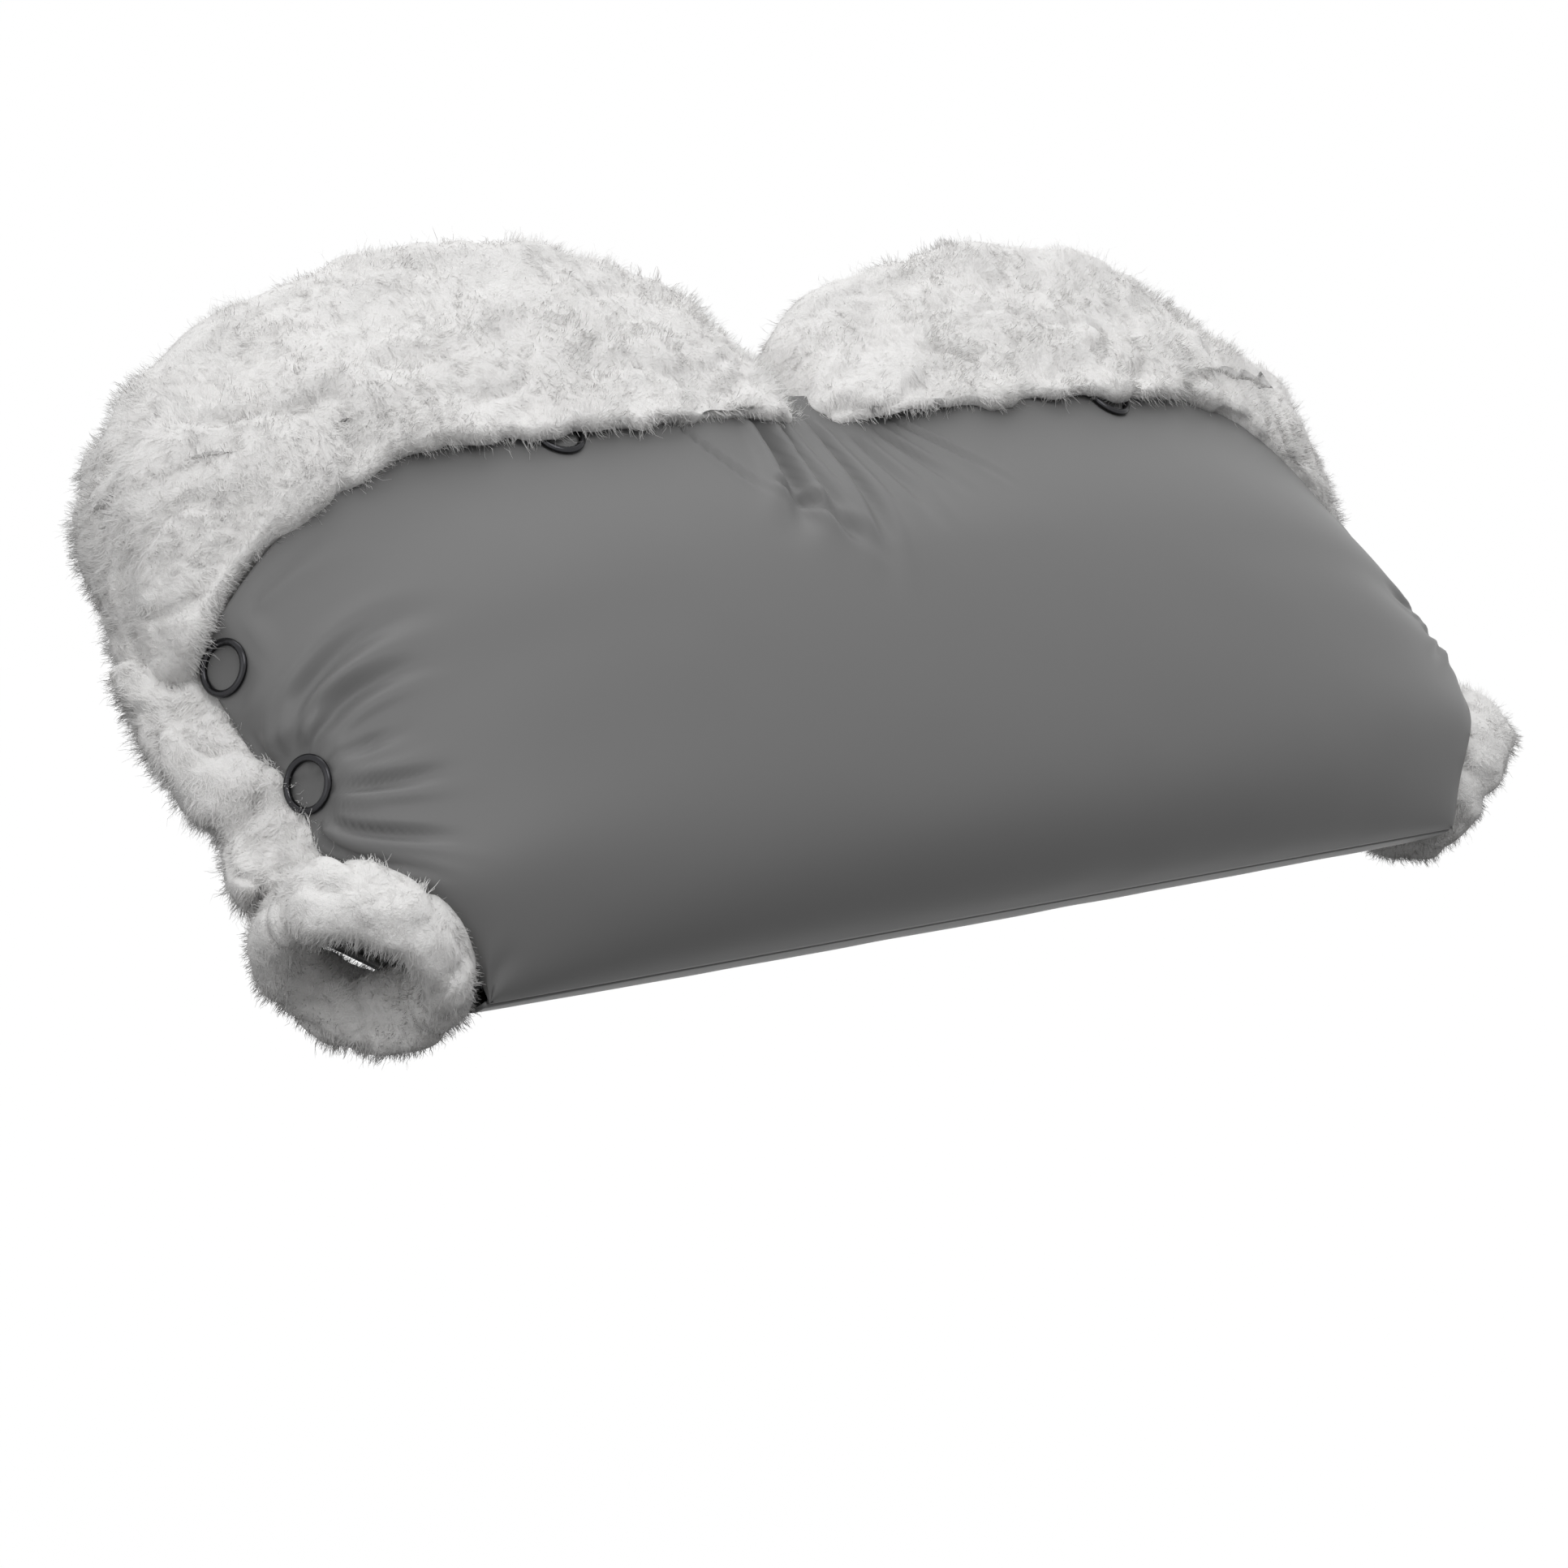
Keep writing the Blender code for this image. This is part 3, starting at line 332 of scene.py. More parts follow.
# inner walls, taken to be brushed polyester: matt and pale, with a soft nap of about 0.8 mm
feltLook = {
    "color": "#d2d2cf", "roughness": 0.9, "specular": 0.2,
    "nap": 0.8 * mm, "napDepth": 0.1 * mm, "napStrength": 0.3,
}
felt, shader = newMaterial("pale brushed polyester", feltLook["color"], feltLook["roughness"],
                           specular=feltLook["specular"])
coords = addNode(felt, "ShaderNodeTexCoord")
nap = addNode(felt, "ShaderNodeTexNoise", {"Scale": 1.0 / feltLook["nap"], "Detail": 3.0},
              [("Vector", coords, "Object")])
bump = addNode(felt, "ShaderNodeBump",
               {"Strength": feltLook["napStrength"], "Distance": feltLook["napDepth"]},
               [("Height", nap, "Fac")])
felt.node_tree.links.new(bump.outputs["Normal"], shader.inputs["Normal"])

# polished black nickel plate: dark grey metal with narrow bright highlights
studLook = {"color": "#3a3a3c", "roughness": 0.22}
blackNickel, _ = newMaterial("black nickel plate", studLook["color"], studLook["roughness"], metallic=1.0)
print("materials made")


# the muff's surfaces

# sizes in metres; rise is measured up from the axis of the muff's tunnel, and depth forwards
# from a plane that lies planeAhead in front of that axis
muff = {
    "lean": radians(34.0), "planeAhead": 18 * mm, "halfWidth": 254 * mm, "seamDrop": 85 * mm,
    "hemRise": 100 * mm, "seamSetback": 10 * mm, "cornerDrop": 53 * mm, "notch": 0.133,
    "notchHeight": 0.45, "sidePinch": 0.020, "sidePinchWidth": 0.07, "sideStud": 0.55,
    "centerPinch": 8 * mm, "centerPinchWidth": 38 * mm,
}
frontHalf = {
    "way": 1.0, "crown": 46 * mm, "hemSetback": 26 * mm, "hemPower": 1.5, "hemBump": 0.45,
    "profile": [(0.000, 0.00), (0.006, 0.20), (0.030, 0.47), (0.090, 0.75), (0.220, 0.94),
                (0.420, 1.00), (0.620, 0.92), (0.760, 0.74), (0.860, 0.58), (1.000, 0.41)],
    "plan": [(1.000, 0.00), (1.000, 0.13), (0.993, 0.26), (0.966, 0.375), (0.905, 0.51),
             (0.800, 0.68), (0.650, 0.83), (0.450, 0.94), (0.220, 0.988)],
}
rearHalf = {
    "way": -1.0, "crown": 68 * mm, "hemSetback": 52 * mm, "hemPower": 0.4, "hemBump": 0.0,
    "profile": [(0.000, 0.00), (0.006, 0.14), (0.030, 0.31), (0.090, 0.52), (0.220, 0.72),
                (0.420, 0.85), (0.620, 0.93), (0.820, 0.98), (1.000, 1.00)],
    "plan": [(1.000, 0.00), (0.994, 0.16), (0.965, 0.34), (0.905, 0.53), (0.800, 0.71),
             (0.650, 0.86), (0.450, 0.95), (0.220, 0.99)],
}


def place(points):
    # x, rise and depth to the row's frame
    x, rise, depth = points[..., 0], points[..., 1], points[..., 2] + muff["planeAhead"]
    sin, cos = np.sin(muff["lean"]), np.cos(muff["lean"])
    return np.stack([x, rise * sin - depth * cos, rise * cos + depth * sin], axis=-1)


def middleProfile(half, at):
    # rise and depth of the half's middle line, a cubic from the bottom seam to the top hem
    height = muff["seamDrop"] + muff["hemRise"]
    return spline([(-muff["seamDrop"] + height * up, -muff["seamSetback"] + half["way"] * half["crown"] * out)
                   for up, out in half["profile"]], at)


def planLine(half, across):
    # a cubic from the right hem over the middle to the left hem: share of the half width, and
    # share of the way from the hem's depth to the middle line's
    right = half["plan"]
    return spline(right + [(0.0, 1.0)] + [(-x, d) for x, d in right[::-1]], across)


def topHem(x):
    # hemRise less cornerDrop times (x over the half width)^5
    return muff["hemRise"] - muff["cornerDrop"] * (np.abs(x) / muff["halfWidth"]) ** 5


def sideWidth(share):
    # half width, less a notch that fades upwards and a dent round the side stud:
    # exp(-((share - sideStud) / sidePinchWidth)^2)
    notch = muff["notch"] * (1.0 - smoothStep(share / muff["notchHeight"]))
    pinch = muff["sidePinch"] * np.exp(-((share - muff["sideStud"]) / muff["sidePinchWidth"]) ** 2)
    return muff["halfWidth"] * (1.0 - notch - pinch)


def hemDepth(half, share):
    # the side hems draw back from the seam: share^hemPower, less a bump at a fifth of the height
    share = np.clip(share, 0.0, 1.0)
    setback = share ** half["hemPower"] - half["hemBump"] * np.exp(-((share - 0.20) / 0.12) ** 2)
    return -muff["seamSetback"] - half["hemSetback"] * setback


def gather(half, x, share):
    # the front sinks in towards the centre stud: exp(-(x / width)^2) times a smooth step upwards
    if half["way"] < 0.0:
        return 0.0
    across = np.exp(-(x / muff["centerPinchWidth"]) ** 2)
    return -muff["centerPinch"] * across * smoothStep((share - 0.60) / 0.40)


def panelSurface(half, across, at):
    # x = side width * plan; rise = share of the way to the top hem;
    # depth = hem + (middle line - hem) * plan, plus the gather and 0.3 mm away from the other half
    middle = middleProfile(half, at)
    share = (middle[..., 0] + muff["seamDrop"]) / (muff["hemRise"] + muff["seamDrop"])
    plan = planLine(half, across)
    x = sideWidth(share) * plan[..., 0]
    rise = -muff["seamDrop"] + (topHem(x) + muff["seamDrop"]) * share
    hem = hemDepth(half, share)
    depth = hem + (middle[..., 1] - hem) * plan[..., 1] + gather(half, x, share)
    return np.stack(np.broadcast_arrays(x, rise, depth + half["way"] * 0.3 * mm), axis=-1)


def panelNormals(half, across, at):
    # a small step up cross a small step across; straight down along the bottom seam itself
    step = 0.002
    along = (panelSurface(half, np.clip(across + step, 0, 1), at)
             - panelSurface(half, np.clip(across - step, 0, 1), at))
    up = (panelSurface(half, across, np.clip(at + step, 0, 1))
          - panelSurface(half, across, np.clip(at - step, 0, 1)))
    normal = np.cross(up, along) * half["way"]
    normal = normal / np.linalg.norm(normal, axis=-1, keepdims=True)
    normal[np.broadcast_to(at, normal.shape[:-1]) <= 0.0] = (0.0, -1.0, 0.0)
    return normal


def rowAt(half, share):
    # place along the middle line where it has risen by the given share
    places = np.linspace(0.0, 1.0, 400)
    rise = middleProfile(half, places)[:, 0]
    return np.interp(share, (rise + muff["seamDrop"]) / (muff["hemRise"] + muff["seamDrop"]), places)


def depthAt(half, x, rise):
    # depth of the panel at x and rise: panelSurface's formula with the plan read at x
    share = np.clip((rise + muff["seamDrop"]) / (topHem(x) + muff["seamDrop"]), 0.0, 1.0)
    middle = middleProfile(half, rowAt(half, share))[..., 1]
    line = planLine(half, np.linspace(0.0, 0.5, 400))
    line[:, 0] = np.minimum.accumulate(line[:, 0])
    crown = np.interp(np.clip(np.abs(x) / sideWidth(share), 0, 1), line[::-1, 0], line[::-1, 1])
    hem = hemDepth(half, share)
    return hem + (middle - hem) * crown + gather(half, x, share)


def columnsOf(half, shares):
    # places across a panel, even in distance along its cloth
    places = np.linspace(0.0, 1.0, 1600)
    line = planLine(half, places) * np.array([muff["halfWidth"], 62 * mm])
    steps = np.linalg.norm(np.diff(line, axis=0), axis=1)
    lengths = np.concatenate([[0.0], np.cumsum(steps)])
    return np.interp(np.asarray(shares) * lengths[-1], lengths, places), lengths[-1]


def panelOffset(half, across, at, inwards):
    # the panel moved in along its normals; low down it is kept on its own side of the seam
    points = panelSurface(half, across, at) - panelNormals(half, across, at) * inwards
    seam = -muff["seamSetback"] * half["way"] + 0.3 * mm
    kept = half["way"] * np.maximum(points[..., 2] * half["way"], seam)
    low = np.broadcast_to(at, kept.shape) < rowAt(half, 0.30)
    points[..., 2] = np.where(low, kept, points[..., 2])
    return points


def pastHem(line, guide, shares):
    # line + slope * (share - 1) for the shares over 1, with the slope the guide has just below 1
    low = np.minimum(shares, 1.0)
    last = int((shares <= 1.0).sum()) - 1
    slope = (guide[last] - guide[last - 1]) / (low[last] - low[last - 1])
    return line + slope * (shares - low)[:, None]


# shells with their gathers

# gathers: (start, end, bow, depth, width) in millimetres of cloth across from the
# middle line (left is minus) and up from the tunnel's axis
frontGathers = [
    ((-266, -8), (-203, 13), 0.14, 3.2, 2.7), ((-267, -4), (-194, 31), 0.16, 3.1, 3.1),
    ((-266, -13), (-215, -21), -0.05, 2.6, 2.3), ((-267, -17), (-233, -44), -0.10, 2.7, 2.4),
    ((-270, -20), (-254, -56), -0.06, 1.9, 2.0), ((-272, -4), (-271, 17), 0.05, 1.6, 1.9),
    ((-268, -5), (-228, 15), 0.12, 2.0, 1.8), ((-269, -2), (-240, 24), 0.12, 1.7, 1.8),
    ((-265, -10), (-226, -5), 0.04, 1.8, 2.0), ((-268, -14), (-243, -33), -0.04, 1.6, 1.7),
    ((-250, 51), (-206, 69), 0.05, 0.9, 3.0), ((-272, -85), (-245, -74), 0.05, 0.8, 2.5),
    ((-44, 92), (-76, 28), 0.14, 4.2, 3.6), ((-32, 93), (-49, 16), 0.00, 2.7, 2.8),
    ((-16, 93), (-46, 6), 0.07, 3.0, 2.9), ((5, 94), (20, 42), 0.03, 2.1, 2.0),
    ((14, 94), (44, 44), 0.03, 1.4, 1.4), ((-79, 91), (-61, 45), 0.00, 1.4, 1.2),
    ((-60, 60), (-36, 18), 0.05, 2.0, 2.8), ((-2, 92), (-5, 26), 0.02, 1.9, 2.6),
]


def foldField(girth, rise, folds):
    # each fold is a valley, -exp(-(distance / wide)^2), with raised flanks along a bowed line;
    # it gets wider from its start and fades at both ends
    total = np.zeros(np.broadcast(girth, rise).shape)
    for (gx, gy), (hx, hy), bow, depth, width in folds:
        t = np.linspace(0.0, 1.0, 14)
        dx, dy = hx - gx, hy - gy
        px = gx + dx * t - dy * bow * 4.0 * t * (1.0 - t)
        py = gy + dy * t + dx * bow * 4.0 * t * (1.0 - t)
        reach = 5.0 * width
        near = ((girth > min(px) - reach) & (girth < max(px) + reach)
                & (rise > min(py) - reach) & (rise < max(py) + reach))
        if not near.any():
            continue
        qx, qy = girth[near], rise[near]
        best = np.full(qx.shape, 1e9)
        along = np.zeros(qx.shape)
        for i in range(len(t) - 1):
            sx, sy = px[i + 1] - px[i], py[i + 1] - py[i]
            k = np.clip(((qx - px[i]) * sx + (qy - py[i]) * sy) / (sx * sx + sy * sy), 0.0, 1.0)
            distance = np.hypot(qx - px[i] - k * sx, qy - py[i] - k * sy)
            closer = distance < best
            best = np.where(closer, distance, best)
            along = np.where(closer, t[i] + k * (t[i + 1] - t[i]), along)
        wide = width * (0.55 + 0.9 * along)
        fade = smoothStep(along / 0.12) * (1.0 - smoothStep((along - 0.35) / 0.65))
        valley = np.exp(-(best / wide) ** 2)
        flank = np.exp(-((best - 1.9 * wide) / (1.1 * wide)) ** 2)
        total[near] += depth * fade * (0.55 * flank - valley)
    return total


def fanOfFolds(center, count, fromAngle, toAngle, length, depth, width, seed):
    # folds that run out from a stud, each a little different
    random = np.random.default_rng(seed)
    folds = []
    for i in range(count):
        share = (i + random.uniform(-0.3, 0.3)) / max(count - 1, 1)
        angle = radians(fromAngle + (toAngle - fromAngle) * share)
        reach = length * random.uniform(0.55, 1.15)
        start = (center[0] + 7.0 * np.cos(angle), center[1] + 7.0 * np.sin(angle))
        end = (center[0] + reach * np.cos(angle), center[1] + reach * np.sin(angle))
        folds.append((start, end, random.uniform(-0.10, 0.10), depth * random.uniform(0.5, 1.2),
                      width * random.uniform(0.7, 1.3)))
    return folds


def studFrame(node):
    # centre of a turned piece's lowest face and its axis, away from the muff
    co = np.zeros(len(node.data.vertices) * 3)
    node.data.vertices.foreach_get("co", co)
    co = co.reshape(-1, 3)
    middle = (co.min(axis=0) + co.max(axis=0)) / 2.0
    axis = np.linalg.svd(co - co.mean(axis=0), full_matrices=False)[2][2]
    atSide = "side" in node.name or "corner" in node.name
    axis = axis * (np.sign(axis[0] * middle[0]) if atSide else -np.sign(axis[1]))
    return middle + axis * ((co @ axis).min() - middle @ axis), axis


# the cloth lies between capNear and capFar under a ring cap's lowest face, and overSocket
# above that of the hidden one; this fades beyond reach from the stud's axis
pressed = {
    "reach": 9.5 * mm, "fade": 9.0 * mm, "within": 12 * mm,
    "capNear": 0.15 * mm, "capFar": 0.9 * mm, "overSocket": 4.0 * mm,
}


def pressedByStuds(outside, inside):
    # both faces of the shell move along each stud's axis by the share that is near it
    outside, inside = place(outside), place(inside)
    for nodeName, node in frame["nodes"].items():
        isHidden = nodeName == "center_socket"
        if not nodeName.endswith("_ring_cap") and not isHidden:
            continue
        middle, axis = studFrame(node)
        height = (outside - middle) @ axis
        apart = np.linalg.norm(outside - middle - height[..., None] * axis, axis=-1)
        near = 1.0 - smoothStep((apart - pressed["reach"]) / pressed["fade"])
        near = near * (np.abs(height) < pressed["within"])
        if isHidden:
            moved = np.minimum(height - pressed["overSocket"], 0.0) * near
        else:
            tooHigh = np.maximum(height + pressed["capNear"], 0.0)
            tooLow = np.minimum(height + pressed["capFar"], 0.0)
            moved = (tooHigh + tooLow) * near
        outside, inside = outside - moved[..., None] * axis, inside - moved[..., None] * axis
    return outside, inside


def shellGrid(half, columns, rows, folds, thickness):
    # outside = panel + normal * relief, where relief = folds + two soft noises, calm at the hems;
    # inside = panel + normal * (the relief's valleys only, less the thickness)
    across, girthLength = columnsOf(half, np.linspace(0.0, 1.0, columns))
    at = np.linspace(0.0, 1.0, rows)
    across, at = across[None, :], at[:, None]
    surface = panelSurface(half, across, at)
    normals = panelNormals(half, across, at)
    girth = (0.5 - np.linspace(0.0, 1.0, columns))[None, :] * girthLength / mm + 0.0 * at
    rise = surface[..., 1] / mm
    relief = foldField(girth, rise, folds)
    seam = smoothStep(at / 0.06)
    soft = 0.35 * valueNoise(surface + 3.0, 46 * mm, 5) + 0.15 * valueNoise(surface + 7.0, 21 * mm, 6)
    edge = smoothStep(np.minimum(1.0 - at, np.minimum(across, 1.0 - across) * 8.0) / 0.05)
    relief = (relief * (0.35 + 0.65 * edge) + soft * edge) * seam * mm
    outside = surface + normals * relief[..., None]
    inside = surface + normals * (np.minimum(relief, 0.0) - thickness)[..., None]
    return outside, inside


shells = {"columns": 330, "rows": 150, "thickness": 1.4 * mm}
frontGathers += fanOfFolds((273.0, -12.8), 11, 112.0, 246.0, 50.0, 1.6, 2.4, 11)

grain = shells["columns"], shells["rows"]
frontOut, frontIn = shellGrid(frontHalf, *grain, frontGathers, shells["thickness"])
frontShell = slabObject("frontShell", *pressedByStuds(frontOut, frontIn), shellFabric, flip=True)
rearOut, rearIn = shellGrid(rearHalf, *grain, [], shells["thickness"])
rearShell = slabObject("rearShell", place(rearOut), place(rearIn), shellFabric)
print("shells made")


# wool

# billows are the size and height of the soft lumps, creases the thin valleys between them;
# fibresPerSquare counts per square millimetre up to fibreLimit for a piece; a fibre is drawn as
# wide as a few real ones stuck together, because a single one is too fine to show
pile = {
    "billows": [(24 * mm, 2.0 * mm), (10 * mm, 1.9 * mm), (5.0 * mm, 0.9 * mm)],
    "creaseSize": 15 * mm, "creaseDepth": 2.6 * mm, "creaseWidth": 0.16,
    "fibreLength": 4.1 * mm, "fibreWidth": 0.20 * mm, "lock": 3.2 * mm, "flow": 16 * mm,
    "fibresPerSquare": 1.46, "droop": 0.32, "lift": 0.44, "softness": 0.72, "strayShare": 0.06,
    "fibreLimit": 28500,
}


def woolRelief(points, seed, along=(0.0, 0.0, 0.0), crease=1.0):
    # smooth noises of three sizes, less a thin valley wherever a fourth one passes zero;
    # the pattern is squashed one way, which draws its lumps out along that way
    along = np.asarray(along)
    points = points - (points @ along)[..., None] * along
    relief = -pile["creaseDepth"] * crease * np.exp(
        -(valueNoise(points + 5.0, pile["creaseSize"], seed + 9) / pile["creaseWidth"]) ** 2)
    for k, (size, height) in enumerate(pile["billows"]):
        relief = relief + height * valueNoise(points, size, seed + k)
    return relief


def fibresOn(name, points, normals, quads, seed, density=1.0, length=1.0):
    # ribbons along root + way * reach * t, plus a small spiral, drawn together in locks;
    # their shading follows the surface they grow from, so that the pile looks soft
    random = np.random.default_rng(seed)
    points, normals = points.reshape(-1, 3), normals.reshape(-1, 3)
    a, b, c, d = (points[quads[:, k]] for k in range(4))
    areas = 0.5 * np.linalg.norm(np.cross(c - a, d - b), axis=1)
    total = areas.sum()
    count = min(int(total / mm ** 2 * pile["fibresPerSquare"] * density), pile["fibreLimit"])
    chosen = quads[random.choice(len(quads), count, p=areas / total)]
    u, v = random.random((2, count, 1))
    shares = ((1 - u) * (1 - v), u * (1 - v), u * v, (1 - u) * v)
    root = sum(points[chosen[:, k]] * shares[k] for k in range(4))
    normal = unit(sum(normals[chosen[:, k]] * shares[k] for k in range(4)))

    _, lock = cellNoise(root, pile["lock"], seed + 31)
    key = np.round(lock / (0.01 * mm)).astype(np.int64)
    lockWay = np.stack([latticeValue(*key.T, seed + k) for k in (5, 6, 7)], axis=-1) - 0.5
    flow = np.stack([valueNoise(root + 3.0 * k, pile["flow"], seed + 40 + k) for k in range(3)], axis=-1)
    stray = (random.random((count, 1)) < pile["strayShare"]) * 1.0
    common = 0.9 * flow + 0.8 * lockWay + np.array([0.0, 0.0, -pile["droop"]])
    way = common + random.normal(0.0, 0.30, (count, 3))
    way = way + normal * (pile["lift"] * random.uniform(0.3, 1.7, (count, 1)) + 0.5 * stray)
    inwards = np.minimum((way * normal).sum(axis=1, keepdims=True) - 0.25, 0.0)
    way = unit(way - normal * inwards)
    reach = pile["fibreLength"] * length * random.uniform(0.6, 1.15, (count, 1)) * (1.0 + 0.45 * stray)
    reach = reach * (0.75 + 0.5 * latticeValue(*key.T, seed + 8)[:, None])
    tip = lock + unit(common + pile["lift"] * normal) * reach
    sideA = unit(np.cross(way, random.normal(size=(count, 3))))
    sideB = np.cross(way, sideA)
    phase = random.uniform(0.0, 2.0 * np.pi, (count, 1))
    turns = random.uniform(0.5, 1.1, (count, 1)) * 2.0 * np.pi
    lines = []
    for t in (0.0, 0.33, 0.68, 1.0):
        swing = ((np.cos(phase + turns * t) - np.cos(phase)) * sideA
                 + (np.sin(phase + turns * t) - np.sin(phase)) * sideB)
        line = root + way * reach * t + swing * 0.12 * reach * (0.3 + t)
        lines.append(line + (root + (tip - root) * t - line) * 0.45 * t * (1.0 - stray))
    lines = np.stack(lines, axis=1) - normal[:, None] * 0.4 * mm
    along = np.gradient(lines, axis=1)
    flat = unit(np.cross(along, normal[:, None]))
    face = unit(np.cross(flat, along))
    width = pile["fibreWidth"] * random.uniform(0.75, 1.25, (count, 1, 1)) * (1.0 - 0.3 * stray[:, None])
    half = flat * width * np.array([1.0, 0.95, 0.75, 0.3])[None, :, None] / 2.0
    shade = unit(normal[:, None] * pile["softness"] + face * (1.0 - pile["softness"]))
    steps = lines.shape[1]
    index = np.arange(count)[:, None] * steps * 2 + np.arange(steps - 1)[None, :] * 2
    faces = index.reshape(-1, 1) + np.array([[0, 1, 3, 2]])
    return facesToMesh(name, np.stack([lines - half, lines + half], axis=2), faces, fibre,
                       np.stack([shade, shade], axis=2))


opening = {
    "center": 130 * mm, "halfLength": 120 * mm, "roundness": 3.0, "inset": 5.3 * mm,
    "rearInset": 2.3 * mm,
}


def openingLoop(angle, rise):
    # plan of the right hand opening: just inside the front and the rear panel
    power = 2.0 / opening["roundness"]
    swing, spread = np.cos(angle), np.sin(angle)
    x = opening["center"] + opening["halfLength"] * np.sign(swing) * np.abs(swing) ** power
    front = depthAt(frontHalf, x, rise) - opening["inset"]
    rear = depthAt(rearHalf, x, rise) + opening["rearInset"]
    endsX = opening["center"] + opening["halfLength"] * np.array([-1.0, 1.0])
    ends = (depthAt(frontHalf, endsX, muff["hemRise"]) + depthAt(rearHalf, endsX, muff["hemRise"])) / 2.0
    middle = np.interp(x, endsX, ends)
    reach = np.abs(spread) ** power
    depth = np.where(spread > 0.0, middle + (front - middle) * reach, middle + (rear - middle) * reach)
    return x, depth


def evenAngles(count):
    # angles that give even steps along the opening's rim
    fine = np.linspace(0.0, 2.0 * np.pi, 4001)
    x, depth = openingLoop(fine, muff["hemRise"])
    lengths = np.concatenate([[0.0], np.cumsum(np.hypot(np.diff(x), np.diff(depth)))])
    return np.interp(np.linspace(0.0, lengths[-1], count, endpoint=False), lengths, fine)


def loopOutwards(x, depth):
    # the plan's own direction turned a quarter outwards: (dd, -dx) over its length
    dx = np.roll(x, -2) - np.roll(x, 2)
    dd = np.roll(depth, -2) - np.roll(depth, 2)
    length = np.hypot(dx, dd)
    return dd / length, -dx / length


# the cuffs: wool standing round each hand opening, heights above the top hem; the lip
# hangs in front of the hem, and along draws the lumps out (x, y and z)
cuff = {
    "front": 68 * mm, "rear": 46 * mm, "innerEnd": 19 * mm, "outerEnd": 21 * mm, "rightShare": 0.88,
    "arch": [(-1.00, 0.00), (-0.95, 0.22), (-0.88, 0.42), (-0.75, 0.63), (-0.50, 0.86), (-0.20, 0.985),
             (0.00, 1.00), (0.25, 0.94), (0.55, 0.73), (0.85, 0.42), (0.95, 0.22), (1.00, 0.00)],
    "outside": 8.0 * mm, "inside": 10.0 * mm, "bulge": 5.5 * mm, "endBulge": 4.5 * mm, "leanBack": 9.0 * mm,
    "lip": 15.0 * mm, "rearLip": 3.0 * mm, "lipGap": 6.3 * mm, "rearLipGap": 3.3 * mm, "foot": 4.5 * mm,
    "crestStart": 8 * mm, "crestHeight": 9 * mm, "taper": 2.0 * mm, "scallop": 1.5 * mm,
    "scallopSize": 8 * mm, "dropFrom": 3 * mm, "dropOver": 9 * mm,
    "innerForward": 13.0 * mm, "innerAcross": {"left": -11.0 * mm, "right": -15.0 * mm},
    "along": {"left": (0.56, 0.0, 0.52), "right": (0.30, 0.0, 0.66)}, "seed": {"left": 100, "right": 200},
    "ringSteps": 420, "wallSteps": 44,
}


def cuffHeight(angle, side):
    # end + (full - end) * arch: both go smoothly from one end or face of the opening to the other,
    # and the arch is read from its list and averaged over nine neighbours
    reach = np.sign(np.cos(angle)) * np.abs(np.cos(angle)) ** (2.0 / opening["roundness"])
    arch = np.interp(reach, *np.array(cuff["arch"]).T)
    arch = np.convolve(np.concatenate([arch[-4:], arch, arch[:4]]), np.ones(9) / 9.0, "valid")
    end = cuff["innerEnd"] + (cuff["outerEnd"] - cuff["innerEnd"]) * smoothStep((reach + 0.2) / 0.4)
    front = cuff["front"] * (cuff["rightShare"] if side > 0.0 else 1.0)
    full = cuff["rear"] + (front - cuff["rear"]) * smoothStep(np.sin(angle) * 1.2 + 0.5)
    return end + (full - end) * arch


def frontness(angle):
    # 1 along the front of an opening, 0 behind
    return smoothStep(np.sin(angle) * 2.6)


def footOffset(angle):
    # how far the wool stands out from the opening's rim where it meets the hem
    end = np.maximum(np.cos(angle), 0.0) ** 2
    return cuff["outside"] + cuff["bulge"] * (0.35 + 0.65 * frontness(angle)) + cuff["endBulge"] * end


def hemGap(angle):
    # distance from the opening's rim to just clear of the shell's face
    return cuff["rearLipGap"] + (cuff["lipGap"] - cuff["rearLipGap"]) * frontness(angle)


